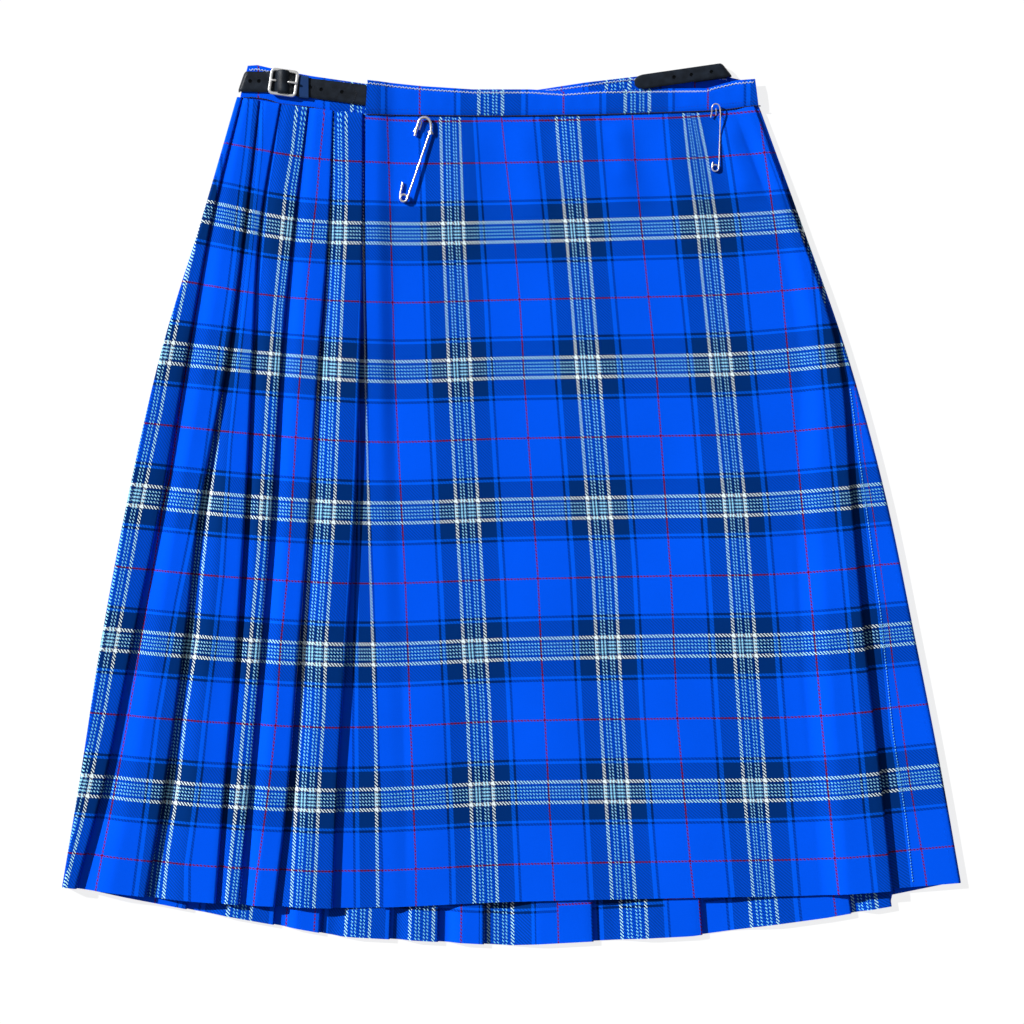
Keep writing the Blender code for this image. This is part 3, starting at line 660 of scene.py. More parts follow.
@dataclass(frozen=True)
class TartanFinish:
    """A worsted two-and-two twill in the tartan's colours, read from the piece's own weave map."""

    name: str = "tartan"
    threads: float = 168.0  # in one repeat
    warp_chart: tuple[tuple[int, Yarn], ...] = (
        # first thread of each stripe, from the middle of a white group to the middle of the red line
        (0, Yarn.GROUND),
        (2, Yarn.PALE),
        (4, Yarn.GROUND),
        (6, Yarn.PALE),
        (8, Yarn.GROUND),
        (12, Yarn.WHITE),
        (16, Yarn.NAVY),
        (36, Yarn.LIGHT),
        (41, Yarn.DARK),
        (44, Yarn.BRIGHT),
        (83, Yarn.RED),
    )
    weft_chart: tuple[tuple[int, Yarn], ...] = (
        (0, Yarn.GROUND),
        (1, Yarn.PALE),
        (3, Yarn.GROUND),
        (5, Yarn.PALE),
        (7, Yarn.GROUND),
        (10, Yarn.WHITE),
        (14, Yarn.NAVY),
        (33, Yarn.LIGHT),
        (36, Yarn.DARK),
        (39, Yarn.BRIGHT),
        (83, Yarn.RED),
    )
    group_ends: tuple[int, int] = (16, 14)  # last threads of the white groups of warp and weft
    seam_start: float = -74.0  # above this weft place the cloth below the front seam is plain
    seam_line: float = -84.2  # but for one thin red line
    seam_line_half: float = 0.7
    white_from: float = 0.3  # green from which a yarn counts as white
    red_from: float = 0.1  # red from which any other yarn counts as red
    white_cover: float = 0.09  # how much more of a white yarn shows than of a blue one
    red_cover: float = 0.13
    least_clear: float = 0.34  # how clearly single threads show where all are blue, up to 1
    crossing_blur: float = 0.45  # share of that which is lost where two white groups cross
    neighbour_tint: Colour = (0.45, 0.93, 1.0, 1.0)  # of a white yarn among blue ones
    # painted shade: the next field darkens the blue where a white yarn dips under, for the shade beside the
    # raised white threads
    painted_dip_shade: float = 0.52  # how much darker it is where a white yarn dips under

    def place_in_repeat(self, number: Value) -> Value:
        """Where a thread lies, from 0 at the middle of a white group to 1 at the middle of a red line."""
        return abs(((number + 0.5) / self.threads + 0.5).fraction() - 0.5) * 2

    def thread_colour(self, bench: Bench, place: Value,
                      chart: Sequence[tuple[int, Yarn]]) -> bpy.types.NodeSocket:
        """The colour of a thread from its place in the repeat."""
        stops = [(thread / (self.threads / 2), yarn.value) for thread, yarn in chart]
        ramp = bench.node("ShaderNodeValToRGB", {"interpolation": "CONSTANT", "stops": stops}, {0: place})
        return ramp.outputs[0]

    def strength(self, bench: Bench, colour: bpy.types.NodeSocket) -> tuple[Value, Value, Value]:
        """How white, how red and how blue a yarn is, each from 0 to 1."""
        parts = bench.node("ShaderNodeSeparateColor", inputs={0: colour}).outputs
        white = Value(bench, parts[1]) > self.white_from
        red = (Value(bench, parts[0]) > self.red_from) * (1 - white)
        blue = Value(bench, parts[2]) - Value(bench, parts[1])
        return white, red, blue

    def material(self) -> bpy.types.Material:
        """The cloth's material."""
        bench = Bench(self.name)
        weave = bench.node("ShaderNodeUVMap", {"uv_map": "weave"}).outputs[0]
        split = bench.node("ShaderNodeSeparateXYZ", inputs={0: weave})
        down = Value(bench, split.outputs[1])
        warp = Value(bench, split.outputs[0]) * (self.threads / SETT)
        weft = down * (self.threads / SETT)
        end, pick = warp.floor(), weft.floor()
        warp_place, weft_place = self.place_in_repeat(end), self.place_in_repeat(pick)
        weft_colour = self.thread_colour(bench, weft_place, self.weft_chart)
        weft_colour = bench.blend(down < self.seam_start, weft_colour, Yarn.BRIGHT.value)
        in_seam_line = abs(down - self.seam_line) < self.seam_line_half
        weft_colour = bench.blend(in_seam_line, weft_colour, Yarn.RED.value)
        warp_colour = self.thread_colour(bench, warp_place, self.warp_chart)
        warp_white, warp_red, warp_blue = self.strength(bench, warp_colour)
        weft_white, weft_red, weft_blue = self.strength(bench, weft_colour)
        cover = (0.5 + self.white_cover * (weft_white - warp_white)
                 + self.red_cover * (warp_red - weft_red))
        warp_up = ((warp - weft) / 4).fraction() < cover
        picked = bench.blend(warp_up, weft_colour, warp_colour)
        mixed = bench.blend(0.5, weft_colour, warp_colour)
        half = self.threads / 2
        crossing = (warp_place < self.group_ends[0] / half) * (weft_place < self.group_ends[1] / half)
        clear = self.least_clear + warp_white + weft_white + 0.5 * (warp_red + weft_red)
        clear = bench.sum("MINIMUM", clear, 1.0)
        colour = bench.blend(clear * (1 - self.crossing_blur * crossing), mixed, picked)
        shown = warp_white * warp_up + weft_white * (1 - warp_up)
        hidden = bench.sum("MAXIMUM", warp_white, weft_white) - shown
        glow = shown * bench.sum("MAXIMUM", warp_blue, weft_blue)
        tinted = bench.blend(1.0, colour, self.neighbour_tint, "MULTIPLY")
        colour = bench.blend(glow, colour, tinted)
        across = abs(warp.fraction() - 0.5) * 2
        along = abs(weft.fraction() - 0.5) * 2
        crown = 1 - (across * across * warp_up + along * along * (1 - warp_up))
        fuzz = bench.noise(2600.0, 3.0)
        cloud = bench.noise(11.0, 3.0)
        # painted shade: each thread darker toward its rounded sides and darker where a white yarn dips under;
        # fuzz and cloud vary the tone at random
        shade = (0.84 + 0.22 * crown) * (0.80 + 0.16 * fuzz + 0.22 * cloud) * (1 - self.painted_dip_shade * hidden)
        grey = bench.node("ShaderNodeCombineColor", inputs={0: shade, 1: shade, 2: shade}).outputs[0]
        colour = bench.blend(1.0, colour, grey, "MULTIPLY")
        bench.relief(crown + 0.5 * fuzz, 0.00012, 0.35)
        return bench.finish(Base_Color=colour, Roughness=0.9, Specular_IOR_Level=0.03)


@dataclass(frozen=True)
class LeatherFinish:
    """Black strap leather with a fine grain, worn a little grey in random patches."""

    deep: Colour = (0.004, 0.006, 0.010, 1.0)
    worn: Colour = (0.013, 0.021, 0.036, 1.0)

    def material(self) -> bpy.types.Material:
        """The leather's material."""
        bench = Bench("strap_leather")
        place = bench.node("ShaderNodeTexCoord").outputs["Object"]
        cells = bench.node("ShaderNodeTexVoronoi", {"feature": "DISTANCE_TO_EDGE"},
                           {"Vector": place, "Scale": 1500.0})
        grain = Value(bench, cells.outputs["Distance"])
        patch = bench.noise(180.0, 4.0)
        colour = bench.blend(patch * patch * 1.5, self.deep, self.worn)
        bench.relief(grain + 0.7 * bench.noise(900.0, 3.0), 0.00018, 0.4)
        return bench.finish(Base_Color=colour, Roughness=0.36 + 0.22 * patch, Specular_IOR_Level=0.22)


@dataclass(frozen=True)
class SteelFinish:
    """Bright plated steel wire, brushed by handling."""

    name: str = "bright_steel"
    colour: Colour = (0.95, 0.94, 0.93, 1.0)
    roughness: float = 0.22

    def material(self) -> bpy.types.Material:
        """The metal's material."""
        bench = Bench(self.name)
        rub = bench.noise(420.0, 4.0)
        colour = bench.blend(rub * 0.4, self.colour, (0.72, 0.70, 0.69, 1.0))
        bench.relief(bench.noise(2200.0, 2.0), 0.00003, 0.15)
        return bench.finish(Base_Color=colour, Metallic=0.7, Roughness=self.roughness + 0.16 * rub)


@dataclass(frozen=True)
class TapeFinish:
    """Ribbed navy tape."""

    colour: Colour = (0.004, 0.026, 0.105, 1.0)
    rib: float = 0.0006

    def material(self) -> bpy.types.Material:
        """The tape's material."""
        bench = Bench("keeper_tape")
        place = bench.node("ShaderNodeTexCoord").outputs["Object"]
        split = bench.node("ShaderNodeSeparateXYZ", inputs={0: place})
        rib = abs((Value(bench, split.outputs[1]) / self.rib).fraction() - 0.5) * 2
        fuzz = bench.noise(3000.0, 2.0)
        colour = bench.blend(0.5 * rib + 0.4 * fuzz, self.colour, (0.010, 0.052, 0.19, 1.0))
        bench.relief(1 - rib * rib, 0.0001, 0.5)
        return bench.finish(Base_Color=colour, Roughness=0.8, Specular_IOR_Level=0.25)


@dataclass(frozen=True)
class ThreadAndShadeFinish:
    """Sewing thread, and the near-black of the painted seam shade."""

    name: str
    colour: Colour

    def material(self) -> bpy.types.Material:
        """The thread's material."""
        bench = Bench(self.name)
        fuzz = bench.noise(5000.0, 2.0)
        dim = tuple(0.7 * part for part in self.colour[:3]) + (1.0,)
        bench.relief(fuzz, 0.00005, 0.4)
        return bench.finish(Base_Color=bench.blend(fuzz, self.colour, dim), Roughness=0.7)


@dataclass
class Stretch:
    """One cut piece of cloth: its folded section, the way its weft runs and its creases."""

    name: str
    section: Callable[[float], Section]
    height: Callable[[np.ndarray, float], np.ndarray]
    weft: Callable[[np.ndarray, float], np.ndarray]
    creases: Sequence[Crease] = ()
    row_step: float = ROW_STEP
    seam_dip: float = 0.7
    settle_drop: float = 14.0  # creases rise to their full height over this drop

    def lift(self, x: np.ndarray, y: np.ndarray) -> np.ndarray:
        """How much the creases lift the cloth at each point."""
        total = np.zeros_like(x)
        for crease in self.creases:
            ax, ay = sheet_x(crease.start[0]), sheet_y(crease.start[1])
            bx, by = sheet_x(crease.end[0]), sheet_y(crease.end[1])
            length = math.hypot(bx - ax, by - ay)
            along = ((x - ax) * (bx - ax) + (y - ay) * (by - ay)) / length**2
            across = ((x - ax) * (by - ay) - (y - ay) * (bx - ax)) / length
            ends = eased(np.minimum(along, 1.0 - along) * 3.0 + 0.35)
            total += crease.height * np.exp(-((across / crease.width) ** 2)) * ends
        return total

    def build(self) -> bpy.types.Object:
        """Makes the shell with its weave map.

        Returns:
            The shell.
        """
        rows = int(round(HEM / self.row_step)) + 1
        upper, lower, weave = [], [], []
        for drop in np.concatenate([(0.0, 0.8, 1.7, 2.8, 4.2), np.linspace(6.0, HEM, rows)]):
            section = self.section(float(drop))
            x, z = np.array(section.x), np.array(section.z)
            y = self.height(x, float(drop))
            settle = float(np.interp(drop, (0.0, self.settle_drop), (0.0, 1.0)))
            dip = self.seam_dip * math.exp(-((drop / 2.4) ** 2))
            z = z + self.lift(x, y) * np.array(section.free) * settle - dip
            for skin, side in ((upper, HALF), (lower, -HALF)):
                moved_x, moved_z = Builder.offset(x, z, side)
                skin.append(np.stack([moved_x, y, np.maximum(moved_z, 0.0)], -1))
            weave.append(np.stack([np.array(section.warp), self.weft(x, float(drop))], -1))
        return Builder.shell(self.name, np.array(upper), np.array(lower), np.array(weave))


@dataclass
class KiltCloth:
    """The four stretches of tartan: back pleats, front pleats, under apron and over apron."""

    plan: Plan
    material: bpy.types.Material
    smallest_depth: float = 2.6
    under_start: float = 6.0
    under_end: float = 0.8
    apron_edge: tuple[float, ...] = (-109.9, -109.9, -107.9, -105.8, -102.2, -99.2, -98.3)
    apron_fold: tuple[float, ...] = (182.0, 213.1, 244.5, 254.3, 264.4, 276.8, 285.2)
    apron_fold_depth: tuple[float, ...] = (2.6, 3.2, 12.0, 20.0, 24.0, 28.0, 30.0)
    apron_lifts: tuple[float, ...] = (1.0, 1.0, 1.0, 0.5, 0.25, 0.15, 0.15)
    lift_drop: float = 300.0  # where the pleats stand off in full
    pressed_lift: float = 1.1  # how high a panel starts at the seam, in pitches
    pressed_drop: float = 420.0  # where it has come down to the low layer
    recess_lift: float = 1.2
    seam_take_up: float = 5.2  # of the pleats' weft at the seam
    seam_reach: float = 14.0  # how far down that is felt
    back_lift: float = 0.25
    back_lift_from: float = 400.0
    back_folds: tuple[float, ...] = (
        0.138, 0.235, 0.2856, 0.3639, 0.4178, 0.4689, 0.5911, 0.7122, 0.8778, 0.9228,
    )

    def __post_init__(self) -> None:
        """Charts the pleats of the front, from the side to the apron."""
        self.pleats = (
            # fold at each drop of the plan, lift of the top layer, traces of the panel
            ((-202.75, -224.1, -243.4, -262.0, -284.0, -306.0, -326.3), 1.7, SIDE_PANEL),
            ((-189.75, -200.0, -213.0, -233.0, -245.6, -260.6, -274.1), 2.4, SECOND_PANEL),
            ((-174.0, -188.8, -194.6, -199.5, -206.3, -215.9, -222.0), 2.1, THIRD_PANEL),
            ((-153.0, -163.8, -173.0, -179.8, -188.0, -197.3, -204.0), 1.5, FOURTH_PANEL),
            ((-134.3, -137.8, -145.4, -152.1, -160.0, -168.5, -177.8), 2.0, FIFTH_PANEL),
            ((-112.0, -112.0, -114.2, -117.9, -124.4, -131.3, -134.3), 2.0, SIXTH_PANEL),
        )
        self.pleat_maps = [WarpMap(self.plan, traces) for _, _, traces in self.pleats]
        self.last_map = WarpMap(self.plan, LAST_PANEL)
        self.apron_map = WarpMap(self.plan, APRON)
        self.recess_map = WarpMap(self.plan, RECESS)

    def lift_at(self, most: float, drop: float) -> float:
        """How much a pleat's top layer stands off: nothing at the seam, and uneven further down."""
        uneven = 0.78 + 0.22 * math.sin(drop / 47.0 + 9.0 * most)
        return most * min(drop / self.lift_drop, 1.0) * uneven

    def front_section(self, drop: float) -> Section:
        """Front pleats at one drop, from the floor at the left side to below the apron."""
        left, _ = self.plan.edges(drop)
        pitch = pitch_at(drop)
        low = front_low(drop) + WALL / 2
        section = Section()
        previous = left
        for i, (fold, most, _) in enumerate(self.pleats):
            edge = self.plan.column(fold, drop)
            lift = self.lift_at(most, drop)
            top = low + 2 * pitch + lift
            depth = max(self.smallest_depth, PLEAT_DEPTH * (edge - previous))
            spread = self.pleat_maps[i]

            def warp_at(x: np.ndarray) -> np.ndarray:
                return spread.at(x, drop)

            if i == 0:
                side_x = left + HALF
                round_x, round_z = min(2.4, 0.3 * (edge - left)), min(3.4, 0.45 * top)
                angles = np.linspace(0.0, math.pi / 2, 7)
                heights = np.linspace(0.0, top - round_z, 4)[:-1]
                inner = float(warp_at(np.array(side_x + round_x)))
                section.add(np.full(3, side_x), heights, inner - (top - heights))
                turn_x = side_x + round_x * (1 - np.cos(angles))
                turn_z = top - round_z * (1 - np.sin(angles))
                section.add(turn_x, turn_z, inner - (1 - np.sin(angles)) * 3.0)
            else:
                pressed = self.pressed_lift * pitch * (1.0 - min(drop / self.pressed_drop, 1.0))
                section.add(previous + 0.4, low, warp_at(np.array(previous + 0.4)))
                section.rise(previous + 1.3, edge - depth - 1.2, low + pressed, top, warp_at, 0.35)
            section.fold_under(edge, depth, low, pitch, lift, warp_at)
            previous = edge
        end = self.plan.column(self.apron_edge, drop) + self.under_start - GAP
        xs = np.linspace(previous - 1.0, end, 10)
        section.add(xs, np.full(10, low), self.last_map.at(xs, drop))
        return section

    def under_section(self, drop: float) -> Section:
        """The plain under apron at one drop."""
        left, right = self.plan.edges(drop)
        start = self.plan.column(self.apron_edge, drop) + self.under_start
        xs = np.linspace(start, left + self.under_end * (right - left), 40)
        section = Section()
        section.add(xs, np.full(40, front_low(drop) + WALL / 2), self.apron_map.at(xs, drop))
        return section

    def apron_lift(self, x: np.ndarray, drop: float) -> np.ndarray:
        """How far the over apron stands off near its free edge."""
        from_edge = x - self.plan.column(self.apron_edge, drop)
        share = float(np.interp(drop, self.plan.drops, self.apron_lifts))
        return share * 2 * pitch_at(drop) * (1.0 - eased((from_edge - 8.0) / 14.0))

    def apron_section(self, drop: float) -> Section:
        """The over apron at one drop, from its free edge round its right pleat to the floor."""
        _, right = self.plan.edges(drop)
        free_edge = self.plan.column(self.apron_edge, drop)
        fold = self.plan.column(self.apron_fold, drop)
        depth = self.plan.column(self.apron_fold_depth, drop)
        pitch = pitch_at(drop)
        low = front_low(drop) + WALL / 2
        rest = apron_rest(drop) + WALL / 2
        lift = self.lift_at(2.4, max(drop - 150.0, 0.0)) + self.lift_at(0.4, drop)
        top = low + 2 * pitch + lift
        flat = fold - depth - 1.2
        ramp = min(24.0, 0.5 * depth + 12.0)

        def warp_at(x: np.ndarray) -> np.ndarray:
            return self.apron_map.at(x, drop)

        section = Section()
        edge_xs = free_edge + np.array([0.0, 0.5, 1.5, 3.0, 5.5, 8.0, 10.0, 12.0, 14.0, 16.0, 18.0, 20.0])
        section.add(edge_xs, rest + self.apron_lift(edge_xs, drop), warp_at(edge_xs), 0.0)
        xs = np.linspace(free_edge + 22.0, flat - ramp, 80)
        section.add(xs, np.full(80, rest), warp_at(xs), 1.0)
        section.rise(flat - ramp + 1.0, flat, rest, top, warp_at, 0.0, 0.7)
        section.fold_under(fold, depth, low, pitch, lift, warp_at)
        side_x = right - HALF
        round_x, round_z = min(2.4, 0.4 * (right - fold)), 3.0
        xs = np.linspace(max(fold - 1.5, fold - 0.3 * depth), side_x - round_x, 16)[:-1]
        section.add(xs, np.full(15, low), self.recess_map.at(xs, drop))
        angles = np.linspace(0.0, math.pi / 2, 7)
        last = float(self.recess_map.at(np.array(side_x - round_x), drop))
        turn_x = side_x - round_x * (1 - np.sin(angles))
        section.add(turn_x, low - round_z * (1 - np.cos(angles)), last + np.sin(angles) * 3.0)
        heights = np.linspace(low - round_z, 0.0, 4)[1:]
        section.add(np.full(3, side_x), heights, last + low - heights)
        return section

    def apron_height(self, x: np.ndarray, drop: float) -> np.ndarray:
        """The apron's weft, which steps up on the panel behind its pleat."""
        beyond = eased((x - self.plan.column(self.apron_fold, drop)) / 1.5)
        return self.plan.front_height(x, drop) + beyond * self.recess_lift * drop / HEM

    def back_section(self, drop: float) -> Section:
        """The back pleats at one drop, with their lowest layers flat on the floor."""
        left, right = self.plan.edges(drop)
        width = right - left
        pitch = pitch_at(drop)
        low = WALL / 2
        section = Section()
        start = left + WALL + 4 * GAP
        section.add(start, low, self.back_warp(start, 0, left, width))
        previous = start
        for i, share in enumerate(self.back_folds):
            edge = left + share * width
            depth = max(self.smallest_depth, PLEAT_DEPTH * (edge - previous))

            def warp_at(x: np.ndarray) -> np.ndarray:
                return self.back_warp(x, i, left, width)

            rise = min(max(drop - self.back_lift_from, 0.0) / 100.0, 1.0)
            lift = self.lift_at(self.back_lift, drop + 60.0 * i) * rise
            first = previous + 0.4
            last = edge - depth - 1.2
            xs = np.linspace(first, first + 0.3 * (last - first), 9)[:-1]
            section.add(xs, np.full(8, low), warp_at(xs))
            joins = [self.back_place(join, left, width) for join in sum(BACK_IN_STEP, ())]
            top = low + 2 * pitch + lift
            section.rise(first + 0.3 * (last - first), last, low, top, warp_at, 0.0, 0.0, 18)
            section.fold_under(edge, depth, low, pitch, lift, warp_at, joins)
            previous = edge
        xs = np.append(previous - 1.0, np.linspace(previous + 0.7, right - WALL - 4 * GAP, 6))
        section.add(xs, np.full(7, low), self.back_warp(xs, len(self.back_folds), left, width))
        return section

    def back_place(self, step: float, left: float, width: float) -> float:
        """X at one drop of a place that is given by its step across the hem on the sheet."""
        hem_left, hem_right = self.plan.edges(HEM)
        return left + (sheet_x(step) - hem_left) / (hem_right - hem_left) * width

    def back_warp(self, x: np.ndarray, panel: int, left: float, width: float) -> np.ndarray:
        """Warp places on one panel of the back, whose stripes keep their share of the width."""
        row = BACK_PANELS[panel]
        hem_left, hem_right = self.plan.edges(HEM)
        hem_x = hem_left + (np.asarray(x, float) - left) / width * (hem_right - hem_left)
        return straight(hem_x, [sheet_x(place) for place, _ in row], [warp for _, warp in row])

    def back_weft(self, x: np.ndarray, drop: float) -> np.ndarray:
        """Weft places on the back, whose panels are cut at different places of the repeat."""
        left, right = self.plan.edges(drop)
        hem_left, hem_right = self.plan.edges(HEM)
        hem_x = hem_left + (x - left) / (right - left) * (hem_right - hem_left)
        step = SHEET_MIDDLE[0] + hem_x / SHEET_STEP
        shift = np.full_like(x, BACK_SHIFT)
        for start, end in BACK_IN_STEP:
            shift[(step > start) & (step < end)] = SETT
        return drop - FIRST_GROUP + shift

    def front_weft(self, x: np.ndarray, drop: float) -> np.ndarray:
        """Weft places on the front, counted from the first white group below the seam."""
        return np.full_like(x, drop - FIRST_GROUP)

    def pleat_weft(self, x: np.ndarray, drop: float) -> np.ndarray:
        """Weft places on the front pleats, whose thin red line is taken up in the seam."""
        start = self.seam_take_up * max(1.0 - drop / self.seam_reach, 0.0)
        return np.full_like(x, drop - FIRST_GROUP + start)

    def build(self) -> None:
        plan = self.plan
        back = Stretch("back_pleat_cloth", self.back_section, plan.back_height, self.back_weft,
                       (), 7.0, 0.0).build()
        front = Stretch("front_pleat_cloth", self.front_section, plan.front_height, self.pleat_weft,
                        PLEAT_CREASES).build()
        under = Stretch("under_apron_cloth", self.under_section, plan.front_height, self.front_weft,
                        (), 12.0).build()
        apron = Stretch("over_apron_cloth", self.apron_section, self.apron_height, self.front_weft,
                        APRON_CREASES).build()
        cuts = (
            # piece, node, cut width and length, what it rests on, area
            (back, "back_pleats", (1.40, 0.625), [], 0.66),
            (front, "front_pleats", (0.56, 0.61), [back], 0.22),
            (under, "under_apron", (0.31, 0.60), [back], 0.165),
            (apron, "over_apron", (0.52, 0.60), [under, back], 0.26),
        )
        for piece, node, flat, rests_on, area in cuts:
            Builder.hand_over(piece, self.material, "tartan_cloth", node)


# Stripes of the front, each by its warp place and points down the sheet, from the left side on
SIDE_PANEL = (
    Trace(8.4, ((200, 225), (189, 268), (180, 310), (171.5, 352), (161, 412), (150, 465), (139, 520),
                (131, 565), (118, 635), (105, 710), (90, 785), (81.5, 825), (73, 857), (66, 885))),
)
SECOND_PANEL = (
    Trace(52.5, ((225, 125), (206, 250), (196, 310), (181, 400), (170, 478), (162, 510), (153, 570),
                 (145, 617), (129, 715), (115, 790), (102, 858), (96, 890))),
    Trace(79.2, ((249, 105), (245, 150), (240.5, 186), (229, 288), (205, 465), (177, 600), (156, 722),
                 (131, 897))),
)
THIRD_PANEL = (
    Trace(8.4, ((243, 148), (228, 300), (218, 445), (209, 508), (202, 573), (197.5, 638), (184.5, 722),
                (178, 785), (168, 850), (163, 897))),
    Trace(25.8, ((262.5, 148), (247, 300), (231, 445), (223.5, 577), (217, 638), (207, 722), (202, 770),
                 (189, 867))),
    Trace(52.5, ((280, 105), (276, 140), (265, 190), (261, 300), (259, 445), (252, 577), (244, 638),
                 (228, 850))),
)
FOURTH_PANEL = (
    Trace(-8.4, ((297, 108), (293, 148), (286, 190), (275, 310), (268, 397), (259.3, 552), (246, 705),
                 (239, 785), (227, 903))),
    Trace(-1.9, ((306, 108), (301, 150), (295, 190), (281.7, 310), (277.3, 397), (268.6, 552), (255, 705),
                 (249, 785), (235, 903))),
)
FIFTH_PANEL = (
    Trace(52.5, ((324, 115), (320, 157), (316.4, 200), (313.6, 225), (306, 300), (302.7, 350),
                 (298.4, 400), (292.5, 500), (287.5, 580), (281.5, 640), (276.7, 720), (269, 790),
                 (258, 870), (254, 902))),
)
SIXTH_PANEL = (
    Trace(8.4, ((345.7, 120), (346.5, 180), (345, 240), (341.8, 310), (339.6, 360), (337.7, 420),
                (334.6, 500), (329.8, 585), (326, 642), (323.8, 710), (319, 785), (316.4, 850),
                (313.6, 905))),
)
LAST_PANEL = (
    Trace(-25.8, ((352, 245), (357, 330), (359, 465), (357.5, 552), (355, 640), (354, 727), (355.7, 906))),
    Trace(-8.4, ((360, 115), (362.3, 165), (362.7, 215), (363.4, 260), (365.2, 397), (367.2, 465),
                 (369.4, 552), (372.6, 638), (375.8, 727), (378.2, 906))),
)

# Stripes of the over apron, and of the panel behind its pleat
APRON = (
    Trace(52.5, ((387, 118), (388.6, 161), (395, 380), (405.3, 582), (416, 870))),
    Trace(105.0, ((451.2, 118), (453.6, 233), (460.2, 380), (472.4, 601), (474.7, 648), (478.3, 700),
                  (484.5, 850), (486, 900))),
    Trace(157.5, ((501.4, 118), (505.9, 161), (513, 223), (519.8, 301), (524.3, 380), (538, 578),
                  (541, 648), (544.6, 715), (551.8, 850), (556.2, 901))),
    Trace(210.0, ((567.3, 118), (570.6, 161), (576.8, 233), (588.4, 380), (603.3, 560), (607.8, 648),
                  (612, 719), (620.7, 850), (623.6, 899))),
    Trace(262.5, ((632.7, 117), (635, 158), (638.8, 200), (657, 380), (670.8, 576), (677, 715),
                  (690.3, 863), (694.2, 897))),
    Trace(306.5, ((684.3, 113), (688.7, 158), (697.6, 226), (711.4, 364), (725, 506), (734.8, 648),
                  (744.7, 790), (754.2, 897))),
    Trace(323.5, ((697, 113), (706.5, 158), (716.4, 226), (730.6, 364), (745, 506), (755.2, 648),
                  (765.3, 790), (775.2, 897))),
    Trace(367.5, ((754, 105), (763.8, 148), (769.6, 186), (775.9, 231), (780.5, 269), (789, 365),
                  (799.6, 478), (808.6, 573), (821, 715), (829.8, 810), (838.6, 894))),
)
RECESS = (
    Trace(11.0, ((827, 330), (841, 387), (848, 478), (855.5, 570), (867, 665), (876.5, 745), (885, 830),
                 (892, 888))),
    Trace(24.1, ((842, 350), (849, 385), (861, 475), (868.5, 530), (879.7, 612), (891.8, 730),
                 (905.6, 820), (913.6, 885))),
    Trace(44.0, ((845, 350), (852.5, 385), (863.5, 475), (870.5, 530), (881.7, 612), (893.8, 730),
                 (907.6, 820), (915.6, 885))),
    Trace(52.5, ((848, 350), (856, 400), (866.5, 475), (873.9, 520), (885.6, 605), (893.7, 670),
                 (899.5, 708), (910, 785), (921.7, 851), (927, 885))),
)

# Stripes of the back, panel by panel: where each meets the hem on the sheet, and its warp place
BACK_PANELS = (
    ((155.3, 52.5), (178.0, 80.5)),
    ((203.5, -22.7), (228.6, -7.9), (248.7, 7.9), (268.5, 22.7)),
    ((285.4, 52.5), (299.5, 63.0), (313.6, 52.5)),
    ((322.5, -25.8), (346.3, -7.9), (368.0, 7.9), (385.0, 23.0)),
    ((388.4, -25.8), (410.4, -7.9), (431.7, 7.9)),
    ((461.0, 52.5), (470.0, 60.0), (481.0, 82.3)),
    ((489.6, -7.9), (511.5, 7.9), (532.5, 22.7), (558.4, 52.5)),
    ((600.3, -25.8), (623.8, -7.9), (646.8, 7.9), (665.7, 22.7), (701.9, 52.5)),
    ((731.0, -25.8), (753.6, -7.9), (777.7, 7.9), (796.4, 23.0), (801.8, 26.4), (836.6, 52.5)),
    ((855.0, -9.0), (878.0, 9.0), (893.0, 18.0)),
    ((900.0, 30.0),),
)
BACK_SHIFT = 71.5  # of the weft on most panels of the back
BACK_IN_STEP = ((558.0, 594.0), (667.0, 704.0))  # stretches of the hem where it isn't shifted

PLEAT_CREASES = (
    Crease((196, 300), (150, 520), 9.0, 0.8),
    Crease((215, 520), (190, 800), 8.0, 1.0),
    Crease((312, 240), (300, 430), 8.0, 0.8),
    Crease((268, 640), (250, 840), 9.0, 0.7),
    Crease((345, 300), (332, 620), 8.0, 0.8),
)
APRON_CREASES = (
    Crease((560, 128), (640, 205), 14.0, 2.4),
    Crease((616, 122), (628, 182), 9.0, 1.9),
    Crease((724, 124), (752, 196), 10.0, 2.6),
    Crease((762, 140), (792, 224), 9.0, 1.8),
    Crease((470, 130), (455, 250), 16.0, 1.4),
    Crease((520, 125), (540, 220), 12.0, 1.3),
    Crease((676, 130), (700, 250), 15.0, 1.6),
    Crease((560, 260), (640, 460), 26.0, 1.4),
    Crease((430, 300), (450, 620), 30.0, 1.1),
    Crease((690, 330), (760, 640), 26.0, 1.3),
    Crease((520, 520), (560, 860), 34.0, 1.4),
    Crease((640, 560), (700, 880), 28.0, 1.1),
    Crease((800, 560), (850, 880), 16.0, 1.1),
    Crease((430, 660), (440, 890), 22.0, 1.3),
)


def edge_line(points: Sequence[Point]) -> Callable[[float], float]:
    """A function of x through the points of an edge."""
    xs = [x for x, _ in points]
    ys = [y for _, y in points]
    return lambda x: float(np.interp(x, xs, ys))


